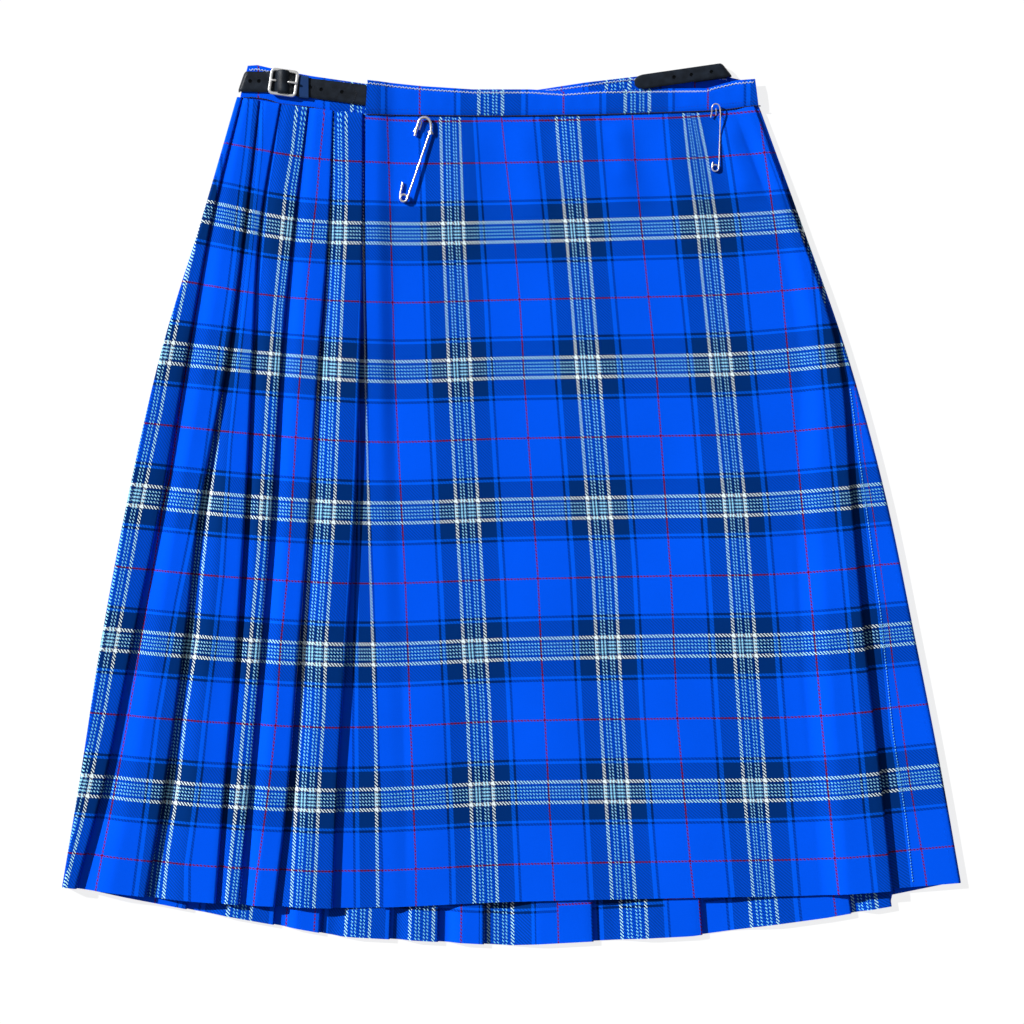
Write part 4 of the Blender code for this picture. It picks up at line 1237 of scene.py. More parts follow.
@dataclass
class Band:
    """A stretch of waistband: doubled cloth between its seam and its top edge."""

    name: str
    node: str
    top: Sequence[Point]
    seam_ends: Point
    seam: Callable[[np.ndarray], np.ndarray]
    level: Callable[[np.ndarray], np.ndarray]
    wall: float
    stripes: Sequence[tuple[float, float]]  # steps across the sheet and warp places
    columns: int = 130
    rows: int = 11
    weft: float = 28.0
    seam_gap: float = 1.0

    def build(self) -> bpy.types.Object:
        """Makes the band with its weave map.

        Returns:
            The band.
        """
        shares = np.linspace(0.0, 1.0, self.columns)
        top_xs = self.top[0][0] + shares * (self.top[-1][0] - self.top[0][0])
        top_ys = np.interp(top_xs, [x for x, _ in self.top], [y for _, y in self.top])
        seam_xs = self.seam_ends[0] + shares * (self.seam_ends[1] - self.seam_ends[0])
        seam_ys = self.seam(seam_xs) + self.seam_gap
        places = [sheet_x(step) for step, _ in self.stripes]
        warps = [warp for _, warp in self.stripes]
        upper, lower, weave = [], [], []
        for share in np.linspace(0.0, 1.0, self.rows):
            x = top_xs + share * (seam_xs - top_xs)
            y = top_ys + share * (seam_ys - top_ys)
            base = self.level(x)
            rim = 0.34 * self.wall * abs(2 * share - 1) ** 4
            ripple = 0.12 * np.sin(x / 5.3) * np.sin(math.pi * share) + 0.08 * np.sin(x / 2.1 + 1.0)
            groove = 0.22 * math.exp(-(((share - 0.1) / 0.05) ** 2))
            height = base + self.wall - rim - groove + ripple * share * (1 - share) * 4
            upper.append(np.stack([x, y, height], -1))
            tuck = 1.8 if share > 0.99 else 0.0
            lower.append(np.stack([x, y - tuck, base + rim * (tuck == 0.0)], -1))
            weft = np.full_like(x, self.weft + 20.0 * share)
            weave.append(np.stack([straight(x, places, warps), weft], -1))
        return Builder.shell(self.name, np.array(upper), np.array(lower), np.array(weave))


@dataclass
class Waistbands:
    """The apron's band, the band of the pleats and under apron, and the band of the back."""

    plan: Plan
    material: bpy.types.Material
    cloth: KiltCloth

    def build(self) -> None:
        left, right = self.plan.edges(0)

        def front_seam(x: np.ndarray) -> np.ndarray:
            return self.plan.front_height(x, 0)

        def back_seam(x: np.ndarray) -> np.ndarray:
            return self.plan.back_height(x, 0)

        def apron_level(x: np.ndarray) -> np.ndarray:
            return apron_rest(0) + self.cloth.apron_lift(x, 0)

        def flat_level(height: float) -> Callable[[np.ndarray], np.ndarray]:
            return lambda x: np.full_like(x, height)

        left_end, under_end = left + 2.7, left + self.cloth.under_end * (right - left)
        bands = (
            # band, and its cut width and length
            (Band("apron_band", "waistband_apron", APRON_BAND_TOP, (-109.9, 185.0), front_seam, apron_level,
                  BAND_WALL, APRON_BAND_STRIPES), (0.295, 0.0205)),
            (Band("pleat_band", "waistband_pleats", PLEAT_BAND_TOP, (left_end, under_end), front_seam,
                  flat_level(front_low(0)), WALL, PLEAT_BAND_STRIPES), (0.312, 0.0205)),
            (Band("back_band", "waistband_back", BACK_BAND_TOP, (-200.0, 180.0), back_seam,
                  flat_level(0.0), BAND_WALL, BACK_BAND_STRIPES, 150), (0.385, 0.025)),
        )
        for band, flat in bands:
            piece = band.build()
            Builder.hand_over(piece, self.material, "tartan_cloth", band.node)


# The bands' top edges on the drawing, and their stripes
APRON_BAND_TOP = ((-108.4, 317.6), (-69.3, 313.5), (-29.5, 310.9), (14.0, 310.9), (38.6, 309.2),
                  (103.5, 311.4), (146.3, 311.8), (167.3, 317.6), (182.5, 318.8))
PLEAT_BAND_TOP = ((-198.5, 328.9), (-191.3, 329.4), (-180.2, 326.8), (-150.8, 321.2), (-109.5, 315.2),
                  (-40.0, 309.4), (107.4, 309.0))
BACK_BAND_TOP = ((-200.0, 325.1), (-109.5, 313.1), (-46.5, 309.4), (16.5, 310.9), (55.5, 316.9),
                 (96.0, 321.6), (133.5, 324.0), (157.5, 322.1), (180.0, 317.0))
APRON_BAND_STRIPES = ((385.0, 25.6), (419.6, 52.5), (456.3, 79.4), (490.5, 105.0), (525.5, 130.6),
                      (563.5, 157.5), (602.0, 184.4), (637.5, 210.0), (672.5, 235.6), (708.0, 262.5),
                      (746.5, 289.4))
PLEAT_BAND_STRIPES = ((258.0, 52.5), (262.0, 55.5), (318.0, 74.0), (325.0, 79.4), (330.0, 83.0),
                      (348.0, 93.6), (352.5, 96.9), (361.5, 103.6))
BACK_BAND_STRIPES = ((562.0, 52.5), (584.5, 79.4), (607.0, 96.6), (629.0, 113.4), (660.0, 131.0))


@dataclass
class Strap:
    """A flat leather strap along a path in its own upright plane, with rounded edges and punched holes."""

    name: str
    node: str
    path: np.ndarray  # rows of along and height of the middle
    sides: Callable[[float], Point]  # the two edges across, at a place along
    origin: Point
    angle: float
    holes: Sequence[Point]  # along and across
    lean: Callable[[float, float], float]  # how far a point moves along, by its place along and share across
    middle: float  # height of the flat stretch
    wall: float = STRAP_WALL
    hole_radius: float = 1.4
    rows: int = 13

    def placed(self, along: float, across: float) -> Point:
        """A point of the strap's own frame on the drawing."""
        cos, sin = math.cos(self.angle), math.sin(self.angle)
        return self.origin[0] + along * cos - across * sin, self.origin[1] + along * sin + across * cos

    def build(self, material: bpy.types.Material) -> bpy.types.Object:
        """Args:
            material: its leather.

        Returns:
            The strap.
        """
        upper, lower = [], []
        for share in np.linspace(0.0, 1.0, self.rows):
            side = abs(2 * share - 1)
            half = self.wall / 2 * (0.25 + 0.75 * math.sqrt(max(1 - side**5, 0.0)))
            for skin, sign in ((upper, half), (lower, -half)):
                along, heights = Builder.offset(self.path[:, 0], self.path[:, 1], sign)
                row = []
                for i, (place, height) in enumerate(zip(along, heights)):
                    start, end = self.sides(float(self.path[i, 0]))
                    moved = place + self.lean(float(self.path[i, 0]), share)
                    row.append((*self.placed(moved, start + (end - start) * share), height))
                skin.append(row)
        strap = Builder.shell(self.name, np.array(upper), np.array(lower), None, 40.0)
        for along, across in self.holes:
            x, y = self.placed(along, across)
            self.punch(strap, x, y)
        Builder.hand_over(strap, material, "strap_leather", self.node)
        return strap

    def punch(self, strap: bpy.types.Object, x: float, y: float) -> None:
        """Cuts a round hole nearly through the strap; the black leather left at its bottom stands for the
        shade in a through hole.
        """
        cutter = Builder.rod(self.hole_radius, 4.0, in_metres(x, y, self.middle + 1.4), corners=20)
        Builder.combine(strap, cutter, "DIFFERENCE")
        Builder.settle(strap)
        bpy.data.objects.remove(cutter, do_unlink=True)
        strap.data.set_sharp_from_angle(angle=math.radians(40.0))


@dataclass
class Belt:
    """The strap on the left side with its buckle, prong and keeper."""

    leather: bpy.types.Material
    steel: bpy.types.Material
    tape: bpy.types.Material
    path: tuple[Point, ...] = (
        (-182.5, 0.0), (-177.9, 0.5), (-174.9, 3.7), (-171.3, 5.1), (-167.7, 3.7), (-164.7, 0.5),
        (-161.0, 0.0), (-152.5, 0.0),
    )
    top: tuple[Point, ...] = (
        (-206.0, 324.4), (-184.0, 324.2), (-179.6, 325.4), (-171.3, 325.0), (-163.2, 324.0), (-160.0, 320.4),
        (-152.5, 319.3), (-109.5, 314.2),
    )
    bottom: tuple[Point, ...] = (
        (-206.0, 309.3), (-182.5, 308.6), (-179.0, 307.6), (-171.3, 307.4), (-164.0, 306.6), (-161.0, 305.6),
        (-152.5, 304.7), (-109.5, 298.9),
    )
    left_end: float = -205.3
    right_end: float = -109.3
    holes: tuple[Point, ...] = (
        (-196.5, 317.0), (-189.9, 317.0), (-151.4, 312.4), (-143.2, 310.8), (-127.7, 308.9),
    )
    corner: float = 2.6  # how round the strap turns down at the left side
    buckle_size: Point = (21.8, 20.4)
    buckle_wire: float = 2.4
    buckle_corner: float = 3.8
    buckle_place: Point = (-171.3, 315.7)
    buckle_turn: float = math.radians(-8.0)
    bar_radius: float = 0.75
    prong_radius: float = 0.85

    def middle_height(self) -> float:
        """Height of the flat strap's middle line."""
        return apron_rest(0) + STRAP_WALL / 2

    def build(self) -> None:
        """Makes the strap and its fittings."""
        low = self.middle_height()
        angles = np.linspace(0.0, math.pi / 2, 9)
        wrap = [(self.left_end, z) for z in np.linspace(STRAP_WALL / 2, low - self.corner, 5)[:-1]]
        for angle in angles:
            across, down = self.corner * (1 - math.cos(angle)), self.corner * (1 - math.sin(angle))
            wrap.append((self.left_end + across, low - down))
        hump_x = np.linspace(self.path[0][0], self.path[-1][0], 60)
        rises = smooth(hump_x, [x for x, _ in self.path], [rise for _, rise in self.path])
        flat_left = [(x, low) for x in np.linspace(self.left_end + self.corner, self.path[0][0], 12)[1:-1]]
        flat_right = [(x, low) for x in np.linspace(self.path[-1][0], self.right_end, 20)[1:]]
        hump = [(x, low + max(rise, 0.0)) for x, rise in zip(hump_x, rises)]
        path = np.array(wrap + flat_left + hump + flat_right)
        top, bottom = edge_line(self.top), edge_line(self.bottom)

        def lean(x: float, share: float) -> float:
            return 5.2 * share * float(eased(np.array((-188.0 - x) / 12.0)))

        Strap("belt", "belt_strap", path, lambda x: (bottom(x), top(x)), (0.0, 0.0), 0.0, self.holes,
              lean, low).build(self.leather)
        on_strap = low + STRAP_WALL / 2 + GAP
        self.build_frame(on_strap)
        self.build_prong(on_strap + self.buckle_wire)
        self.build_keeper(low, top, bottom)

    def turn_into_place(self, item: bpy.types.Object, height: float) -> None:
        """Turns a fitting with the buckle and moves it onto the strap."""
        item.rotation_euler = (0.0, 0.0, self.buckle_turn)
        item.location = in_metres(*self.buckle_place, height)
        Builder.settle(item)

    def build_frame(self, low: float) -> None:
        """The rounded frame with its middle bar."""
        Builder.alone()
        bpy.ops.mesh.primitive_plane_add(size=1.0)
        buckle = bpy.context.object
        buckle.name = "buckle"
        buckle.scale = (self.buckle_size[0] * MM, self.buckle_size[1] * MM, 1.0)
        bpy.ops.object.transform_apply(location=False, rotation=False, scale=True)
        bpy.ops.object.mode_set(mode="EDIT")
        bpy.ops.mesh.select_all(action="SELECT")
        bpy.ops.mesh.bevel(offset=self.buckle_corner * MM, segments=8, affect="VERTICES")
        bpy.ops.mesh.select_all(action="SELECT")
        bpy.ops.mesh.inset(thickness=self.buckle_wire * MM)
        bpy.ops.mesh.delete(type="FACE")
        bpy.ops.mesh.select_all(action="SELECT")
        height = self.buckle_wire * MM
        bpy.ops.mesh.extrude_region_move(TRANSFORM_OT_translate={"value": (0.0, 0.0, height)})
        bpy.ops.mesh.select_all(action="SELECT")
        bpy.ops.mesh.normals_make_consistent(inside=False)
        bpy.ops.object.mode_set(mode="OBJECT")
        Builder.round_off(buckle, 0.85, 4)
        bar = Builder.rod(self.bar_radius, self.buckle_size[1] - 2.6, (0.0, 0.0, 1.05 * MM),
                          (math.pi / 2, 0.0, 0.0))
        Builder.combine(buckle, bar, "UNION")
        bpy.context.view_layer.update()
        self.turn_into_place(buckle, low)
        bpy.data.objects.remove(bar, do_unlink=True)
        buckle.data.shade_smooth()
        buckle.data.set_sharp_from_angle(angle=math.radians(45.0))
        Builder.hand_over(buckle, self.steel, "buckle_steel", "buckle_frame")

    def build_prong(self, low: float) -> None:
        """The end of the prong on the frame, and the stub of it at the left."""
        reach = self.buckle_size[0] / 2
        for name, start, end, height, nodes in (
            ("prong", reach - 7.8, reach - 0.2, low + 0.75, ["buckle_prong"]),
            ("prong_root", -reach + 1.4, -reach + 5.6, low - 0.5, []),
        ):
            centre = ((start + end) / 2 * MM, 0.6 * MM, 0.0)
            prong = Builder.rod(self.prong_radius, end - start, centre, (0.0, math.pi / 2, 0.0), 14)
            prong.name = name
            bpy.ops.object.transform_apply(location=True, rotation=True, scale=True)
            Builder.round_off(prong, 0.5, 3)
            self.turn_into_place(prong, height)
            prong.data.shade_smooth()
            Builder.hand_over(prong, self.steel, "buckle_steel", *nodes)

    def build_keeper(self, low: float, top: Callable[[float], float],
                     bottom: Callable[[float], float]) -> None:
        """The ribbed loop over the strap beside the buckle."""
        upper, lower = [], []
        crest = low + STRAP_WALL / 2 + GAP + 0.5
        foot = apron_rest(0) + 0.2
        turn = 1.0
        angles = np.linspace(0.0, math.pi / 2, 6)
        for x in np.linspace(-159.5, -152.7, 9):
            start, end = bottom(x) - 0.8, top(x) + 0.8
            line = [(start, foot), (start, crest - turn)]
            line += [(start + turn * (1 - math.cos(a)), crest - turn * (1 - math.sin(a))) for a in angles[1:]]
            line += [(y, crest) for y in np.linspace(start + turn, end - turn, 14)[1:-1]]
            line += [(end - turn * (1 - math.sin(a)), crest - turn * (1 - math.cos(a))) for a in angles]
            line.append((end, foot))
            path = np.array(line)
            for skin, sign in ((upper, 0.45), (lower, -0.45)):
                ys, zs = Builder.offset(path[:, 0], path[:, 1], sign)
                skin.append([(x, y, z) for y, z in zip(ys, zs)])
        keeper = Builder.shell("keeper", np.array(lower)[:, ::-1], np.array(upper)[:, ::-1], None, 50.0)
        Builder.chosen(keeper)
        bpy.ops.object.mode_set(mode="EDIT")
        bpy.ops.mesh.select_all(action="SELECT")
        bpy.ops.mesh.normals_make_consistent(inside=False)
        bpy.ops.object.mode_set(mode="OBJECT")
        Builder.hand_over(keeper, self.tape, "keeper_tape", "belt_keeper")


@dataclass
class HipStrap:
    """The loose strap at the right: its tip lies on the apron's band and it turns under to the back."""

    leather: bpy.types.Material
    tip: Point = (91.8, 315.4)
    bend: Point = (161.8, 325.5)
    tail: float = 26.0
    width: float = 10.9
    tip_length: float = 8.0
    holes: tuple[float, ...] = (30.0, 43.1, 58.3)

    def build(self) -> None:
        """Makes the strap."""
        low = BAND_WALL + GAP + STRAP_WALL / 2
        high = apron_rest(0) + BAND_WALL + GAP + STRAP_WALL / 2
        radius = (high - low) / 2
        length = math.hypot(self.bend[0] - self.tip[0], self.bend[1] - self.tip[1])
        start = [(place, high) for place in (0.15, 0.4, 0.8, 1.4, 2.2, 3.2, 4.4, 5.8, 7.4, 9.0)]
        run = [(place, high) for place in np.linspace(11.0, length - radius - 1.0, 24)]
        turn = [(length - radius + radius * math.sin(a), high - radius + radius * math.cos(a))
                for a in np.linspace(0.0, math.pi, 15)]
        tail = [(place, low) for place in np.linspace(length - radius - 2.0, length - self.tail, 6)]
        angle = math.atan2(self.bend[1] - self.tip[1], self.bend[0] - self.tip[0])
        path = np.array(start + run + turn + tail)

        def sides(along: float) -> Point:
            share = math.sqrt(max(1.0 - (1.0 - min(along / self.tip_length, 1.0)) ** 2, 0.02))
            half = self.width / 2 * (0.12 + 0.88 * share)
            return -half, half

        def lean(along: float, share: float) -> float:
            return (2.2 - 6.4 * share) * float(eased(np.array((along - length + 18.0) / 14.0)))

        holes = [(along, 0.0) for along in self.holes]
        Strap("loose_strap", "hip_strap", path, sides, self.tip, angle, holes, lean, high).build(self.leather)


@dataclass
class KiltPins:
    """The large pin near the free edge and the small one near the right side, of bright wire."""

    steel: bpy.types.Material

    def wire(self, name: str, points: Sequence[Place], radius: float, *nodes: str) -> None:
        """A piece of round wire through its points, handed to the part.

        Args:
            name: of the piece.
            points: in millimetres on the drawing.
            radius: of the wire.
            nodes: solids that it stands for.
        """
        curve = bpy.data.curves.new(name, "CURVE")
        curve.dimensions = "3D"
        curve.bevel_depth = radius * MM
        curve.bevel_resolution = 4
        curve.use_fill_caps = True
        spline = curve.splines.new("POLY")
        line = self.smoothed(np.array(points, float))
        spline.points.add(len(line) - 1)
        for place, point in zip(spline.points, line):
            place.co = (*in_metres(*point), 1.0)
        item = bpy.data.objects.new(name, curve)
        bpy.context.scene.collection.objects.link(item)
        Builder.chosen(item)
        bpy.ops.object.convert(target="MESH")
        item = bpy.context.object
        item.data.shade_smooth()
        item.data.set_sharp_from_angle(angle=math.radians(50.0))
        Builder.hand_over(item, self.steel, "pin_steel", *nodes)

    @staticmethod
    def smoothed(points: np.ndarray, pieces: int = 5) -> np.ndarray:
        """Points of a smooth line that passes through the given ones."""
        before = np.vstack([2 * points[:1] - points[1:2], points, 2 * points[-1:] - points[-2:-1]])
        line = [points[0]]
        for first, start, end, last in zip(before, before[1:], before[2:], before[3:]):
            bend = 2 * first - 5 * start + 4 * end - last
            twist = 3 * start - first - 3 * end + last
            for t in np.linspace(0.0, 1.0, pieces + 1)[1:]:
                line.append(0.5 * (2 * start + (end - first) * t + bend * t**2 + twist * t**3))
        return np.array(line)

    @staticmethod
    def on_sheet(level: float, points: Sequence[Point], rises: Sequence[float]) -> list[Place]:
        """Sheet points at their rises above a level, in millimetres."""
        return [(sheet_x(x), sheet_y(y), level + rise) for (x, y), rise in zip(points, rises)]

    @staticmethod
    def coil(middle: Point, radius: float, sweep: float, low: float, high: float) -> list[Place]:
        """Points round the coil of a pin, from its left side on.

        Args:
            middle: of the coil, on the sheet.
            radius: of the wire's middle line, in millimetres.
            sweep: how far it goes round.
            low: height where it starts.
            high: height where it ends.

        Returns:
            The points.
        """
        points = []
        for share in np.linspace(0.0, 1.0, 26):
            angle = math.pi + sweep * share
            x = sheet_x(middle[0]) + radius * math.cos(angle)
            y = sheet_y(middle[1]) + radius * math.sin(angle)
            points.append((x, y, low + (high - low) * share))
        return points

    def build(self) -> None:
        """Makes the two pins."""
        self.build_large(apron_rest(90.0) + WALL + GAP)
        self.build_small(apron_rest(50.0) + WALL + GAP)

    def build_large(self, level: float, wire: float = 0.8) -> None:
        """The large pin with its clasp."""
        points = self.on_sheet(level, ((402.6, 182.4), (402.0, 186.0), (400.9, 191.0), (400.2, 195.0)),
                               (0.4, wire, wire, wire))
        points += self.coil((403.8, 198.2), 2.65, math.pi * 3 - 0.31, level + wire, level + 3.2)
        points += self.on_sheet(level, ((408.2, 196.4), (409.5, 192.6), (419.6, 163.0), (428.3, 137.4),
                                        (429.7, 133.4)), (3.1, 3.0, 2.1, 1.4, 1.3))
        self.wire("large_pin", points, wire, "kilt_pin_large")
        for name, line, rises, radius in (
            ("large_pin_clasp",
             ((430.7, 134.6), (431.1, 130.0), (431.0, 125.0), (429.9, 120.9), (427.4, 118.3), (424.2, 117.6),
              (421.0, 118.7), (418.8, 121.8), (417.5, 126.0), (416.1, 130.6), (414.8, 135.8)),
             (1.4, 1.4, 1.4, 1.7, 1.7, 1.7, 1.7, 1.7, 1.5, 1.2, 0.9), 1.05),
            ("large_pin_clasp_lip", ((418.4, 121.5), (416.6, 126.5), (413.6, 131.8)), (1.5, 1.2, 0.9), 0.6),
            ("large_pin_point", ((421.6, 120.8), (420.9, 125.0), (419.2, 129.8)), (0.8, 0.8, 0.8), 0.55),
            ("large_pin_collar", ((427.8, 132.2), (430.0, 131.4), (431.6, 132.0), (433.0, 134.2)),
             (1.0, 2.0, 2.0, 1.0), 0.55),
        ):
            self.wire(name, self.on_sheet(level, line, rises), radius)

    def build_small(self, level: float, wire: float = 0.5) -> None:
        """The small pin."""
        points = self.on_sheet(level, ((713.0, 162.0), (712.4, 164.5), (712.0, 166.5)), (0.3, wire, wire))
        points += self.coil((715.4, 168.0), 2.45, math.pi * 3, level + wire, level + 1.9)
        points += self.on_sheet(
            level,
            ((719.0, 164.0), (719.2, 160.0), (719.8, 138.0), (720.3, 117.0), (720.2, 112.0), (719.7, 107.8),
             (718.0, 105.0), (715.4, 104.2), (713.0, 105.4), (711.8, 108.4), (711.8, 112.0), (710.8, 117.4)),
            (1.7, 1.6, 1.6, 2.6, 2.8, 2.9, 2.9, 2.9, 2.9, 2.6, 1.8, 1.0),
        )
        self.wire("small_pin", points, wire, "kilt_pin_small")
        point = self.on_sheet(level, ((715.9, 108.6), (716.1, 112.0), (715.9, 115.4)), (2.4, 2.2, 1.2))
        self.wire("small_pin_point", point, 0.42)


@dataclass(frozen=True)
class StitchesAndShadeDashes:
    """A row of machine stitches, or of near-black dashes of painted shade along a seam, that lie on a
    surface.
    """

    name: str
    line: Sequence[Point]  # on the sheet
    level: Callable[[float], float]  # height of the surface at x
    pitch: float  # from stitch to stitch
    length: float  # of a stitch
    radius: float  # of the thread
    slant: float  # angle to the row, turned the other way for every other stitch
    thread: bpy.types.Material
    slot: str = "tartan_cloth"

    def build(self) -> None:
        """Lays the row, stitches or dashes of painted shade, and hands it to the part."""
        places = np.array([(sheet_x(x), sheet_y(y)) for x, y in self.line])
        steps = np.linalg.norm(np.diff(places, axis=0), axis=1)
        ends = np.concatenate([[0.0], np.cumsum(steps)])
        vertices, faces = [], []
        for number, along in enumerate(np.arange(self.pitch / 2, ends[-1], self.pitch)):
            x, ahead_x = np.interp((along, along + 0.1), ends, places[:, 0])
            y, ahead_y = np.interp((along, along + 0.1), ends, places[:, 1])
            turn = math.atan2(ahead_y - y, ahead_x - x) + self.slant * (1 if number % 2 else -1)
            faces += self.faces(len(vertices))
            vertices += self.vertices((float(x), float(y), self.level(float(x))), turn)
        piece = Builder.item(self.name, vertices, faces, None, 80.0)
        Builder.hand_over(piece, self.thread, self.slot)

    def vertices(self, place: Place, turn: float) -> list[Place]:
        """Points of one stitch, a short bowed thread of six sides with pointed ends."""
        cos, sin = math.cos(turn), math.sin(turn)
        points = []
        for share, size in ((-0.5, 0.0), (-0.36, 0.75), (0.0, 1.0), (0.36, 0.75), (0.5, 0.0)):
            x, y = place[0] + cos * self.length * share, place[1] + sin * self.length * share
            if not size:
                points.append((x, y, place[2] - self.radius))
                continue
            rise = self.radius * (1.0 - (2 * share) ** 2)
            for angle in np.linspace(0.0, math.pi * 2, 7)[:-1]:
                across, up = self.radius * size * math.cos(angle), self.radius * size * math.sin(angle)
                points.append((x - sin * across, y + cos * across, place[2] + rise + up))
        return points

    @staticmethod
    def faces(first: int) -> list[tuple[int, ...]]:
        """Corners of the faces of one stitch, from the number of its first point."""
        faces = []
        for corner in range(6):
            after = (corner + 1) % 6
            faces.append((first, first + 1 + after, first + 1 + corner))
            faces.append((first + 19, first + 13 + corner, first + 13 + after))
            for low in (first + 1, first + 7):
                faces.append((low + corner, low + after, low + 6 + after, low + 6 + corner))
        return faces


def sew_and_paint_seam_shade() -> None:
    """Sews the bands, the panel behind the apron's pleat and the belt, and lays near-black dashes along the
    waist seams as painted shade in their crease.
    """
    white = ThreadAndShadeFinish("white_thread", (0.72, 0.84, 1.0, 1.0)).material()
    # painted shade: a near-black for the rows that stand for the shade in the waist seams' crease
    navy = ThreadAndShadeFinish("painted_seam_shade", (0.0, 0.006, 0.04, 1.0)).material()
    blue = ThreadAndShadeFinish("blue_thread", (0.0, 0.045, 0.45, 1.0)).material()
    pale = ThreadAndShadeFinish("pale_thread", (0.16, 0.60, 1.0, 1.0)).material()
    grey = ThreadAndShadeFinish("black_thread", (0.035, 0.037, 0.04, 1.0)).material()

    def apron(x: float) -> float:
        lift = 2.6 if x < -101.0 else 2.6 * max(0.0, min(1.0, (-88.0 - x) / 13.0))
        return apron_rest(0) + 1.15 + lift

    def pleats(x: float) -> float:
        return front_low(0) + 0.8

    def recess(x: float) -> float:
        drop = float(np.interp(x, (sheet_x(850), sheet_x(913)), (205.0, 586.0)))
        return front_low(drop) + WALL / 2 + HALF + 0.1

    for row in (
        # name, line, level, pitch, length, radius, slant, thread
        ("apron_band_topstitch", ((367, 83.2), (419.6, 88.9), (472.7, 92.4), (530.7, 92.4), (563.5, 94.6),
                                  (602, 92), (650, 91.6), (707, 91), (714, 88.4), (735, 83.4), (754, 81.8)),
         apron, 1.35, 2.1, 0.34, 0.85, white),
        ("pleat_band_topstitch", ((249, 69.4), (257, 68.6), (271.7, 71.6)),
         pleats, 1.2, 2.2, 0.32, 1.0, white),
        ("pleat_band_topstitch_right", ((340, 81.9), (351, 83.4), (365, 85.4)),
         pleats, 1.3, 2.0, 0.36, 0.8, white),
        ("back_band_topstitch", ((536, 90.4), (560, 88), (588, 84.2), (606, 81.4), (640, 77.4), (712, 76),
                                 (728, 78.4)), lambda x: 1.3, 1.35, 2.0, 0.30, 0.85, white),
        # painted shade: the next two rows of long, nearly joined near-black dashes stand for the shade in the
        # waist seams' crease, not for stitching
        ("apron_seam_painted_shade", ((366.5, 114.6), (500, 115.8), (600, 114.3), (675, 111.8), (709, 110.6),
                              (731, 108.8), (753, 105.6), (760, 105.6)),
         lambda x: apron(x) - 0.5, 2.0, 2.7, 0.5, 0.0, navy),
        ("pleat_seam_painted_shade", ((240, 97.6), (252, 97.0), (266, 98.8), (280, 103.4), (310, 106.8),
                              (335, 111.2), (364, 114.6)), pleats, 2.0, 2.7, 0.5, 0.0, navy),
        ("apron_band_seam_stitch", ((368, 109.2), (500, 110.4), (600, 108.8), (680, 107.0), (708, 105.0),
                                    (745, 102.0), (758, 100.8)),
         lambda x: apron(x) + 0.22, 2.2, 1.2, 0.12, 0.0, blue),
        ("recess_edge_stitch", ((850.3, 388), (862, 475), (869.5, 530), (880.7, 612), (892.8, 730),
                                (906.4, 820), (913.2, 884)), recess, 2.2, 1.5, 0.4, 0.0, pale),
        ("belt_point_stitch", ((350.3, 84.0), (353.5, 88.4), (356.6, 93.6), (354.6, 98.6), (352, 103.2)),
         lambda x: apron_rest(0) + 1.8, 1.5, 1.1, 0.2, 0.0, grey, "strap_leather"),
    ):
        StitchesAndShadeDashes(*row).build()


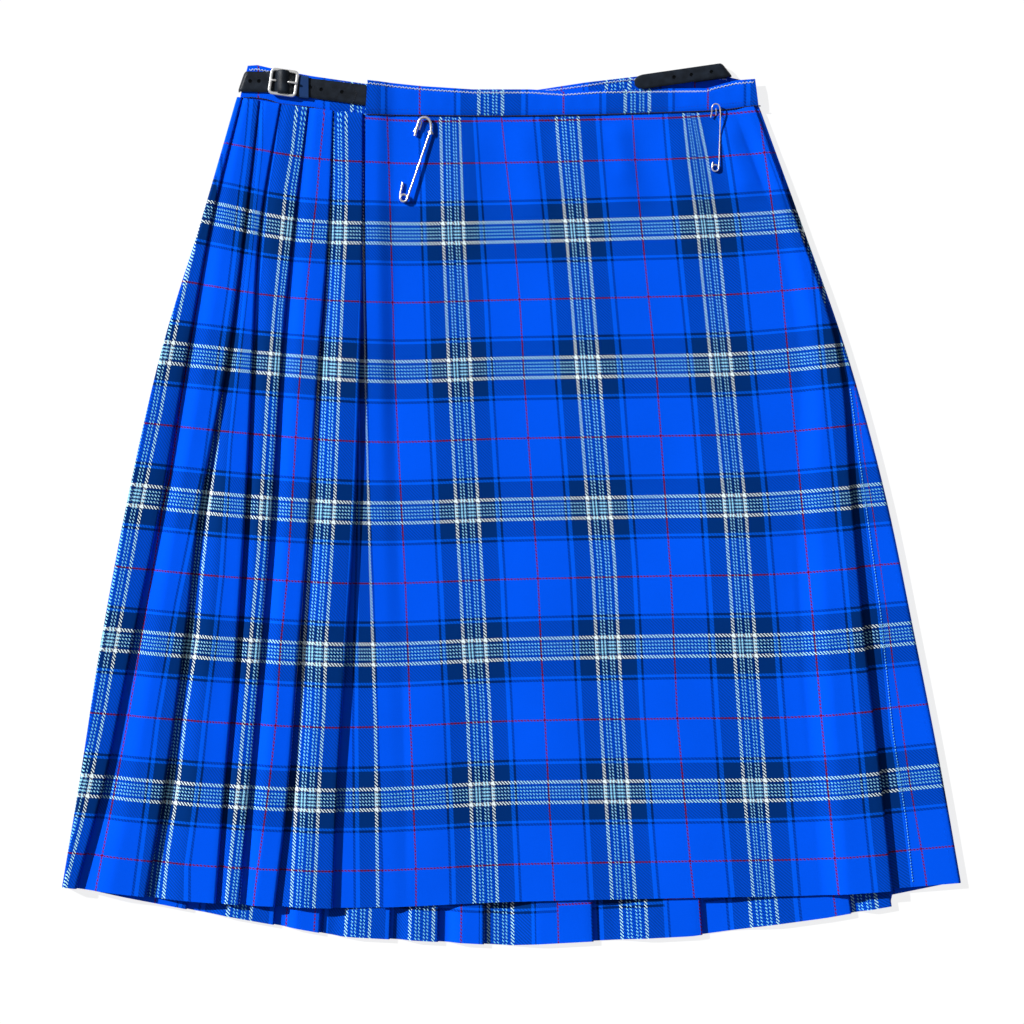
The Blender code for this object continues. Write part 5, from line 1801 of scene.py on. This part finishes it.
@dataclass
class Studio:
    """The pale floor, the soft light and the camera straight above."""

    lens: float = 100.0
    sensor: float = 36.0
    view_width: float = 0.768
    middle_y: float = -0.005275
    cloth_top: float = 0.008

    def build(self) -> None:
        """Sets up the floor, the light and the camera."""
        scene = bpy.context.scene
        scene.view_settings.view_transform = "Standard"
        scene.view_settings.look = "None"
        self.lay_floor()
        world = bpy.data.worlds.new("studio_air")
        scene.world = world
        world.use_nodes = True
        self.light_air(world.node_tree)
        self.add_sun("key_light", 4.75, 2.0, (-0.80, 0.44, 0.58))
        lens = bpy.data.cameras.new("overhead")
        lens.lens = self.lens
        lens.sensor_width = self.sensor
        lens.clip_start = 0.05
        camera = bpy.data.objects.new("overhead", lens)
        height = self.view_width / 2 / (self.sensor / 2 / self.lens)
        camera.location = (0.0, self.middle_y, self.cloth_top + height)
        scene.collection.objects.link(camera)
        scene.camera = camera

    @staticmethod
    def light_air(tree: bpy.types.NodeTree) -> None:
        """Makes the air brightest straight above, like a large soft lamp, and dim near the floor."""
        backdrop = tree.nodes["Background"]
        place = tree.nodes.new("ShaderNodeTexCoord")
        split = tree.nodes.new("ShaderNodeSeparateXYZ")
        ramp = tree.nodes.new("ShaderNodeValToRGB")
        tree.links.new(place.outputs["Generated"], split.inputs[0])
        tree.links.new(split.outputs["Z"], ramp.inputs[0])
        tree.links.new(ramp.outputs[0], backdrop.inputs["Color"])
        Bench.set_stops(ramp.color_ramp, (
            (0.0, (0.044, 0.046, 0.05, 1.0)),
            (0.6, (0.088, 0.091, 0.094, 1.0)),
            (1.0, (0.33, 0.335, 0.34, 1.0)),
        ))
        backdrop.inputs["Strength"].default_value = 1.0

    def add_sun(self, name: str, strength: float, spread: float, towards: Place) -> None:
        """A distant light.

        Args:
            name: of the light.
            strength: of the light.
            spread: how wide it looks, in degrees.
            towards: the direction from the cloth to the light.
        """
        light = bpy.data.lights.new(name, "SUN")
        light.energy = strength
        light.angle = math.radians(spread)
        lamp = bpy.data.objects.new(name, light)
        x, y, z = towards
        lamp.rotation_euler = (math.atan2(math.hypot(x, y), z), 0.0, math.atan2(x, -y))
        bpy.context.scene.collection.objects.link(lamp)

    def lay_floor(self) -> None:
        """The floor under the kilt."""
        Builder.alone()
        bpy.ops.mesh.primitive_plane_add(size=12.0, location=(0.0, 0.0, 0.0))
        floor = bpy.context.object
        floor.name = "studio_floor"
        bench = Bench("pale_floor")
        speck = bench.noise(30.0, 3.0)
        colour = bench.blend(speck * 0.2, (0.20, 0.20, 0.20, 1.0), (0.18, 0.182, 0.185, 1.0))
        Builder.dress(floor, bench.finish(Base_Color=colour, Roughness=0.9, Specular_IOR_Level=0.1,
                                          Emission_Color=(1.0, 1.0, 1.0, 1.0), Emission_Strength=0.82))


def main() -> None:
    """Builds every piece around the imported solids."""
    logging.basicConfig(level=logging.INFO, format="%(name)s: %(message)s")
    plan = Plan()
    tartan = TartanFinish().material()
    leather = LeatherFinish().material()
    cloth = KiltCloth(plan, tartan)
    cloth.build()
    Waistbands(plan, tartan, cloth).build()
    Belt(leather, SteelFinish("buckle_steel").material(), TapeFinish().material()).build()
    HipStrap(leather).build()
    KiltPins(SteelFinish("pin_steel", (0.90, 0.87, 0.86, 1.0), 0.2).material()).build()
    sew_and_paint_seam_shade()
    Studio().build()


if __name__ == "__main__":
    main()
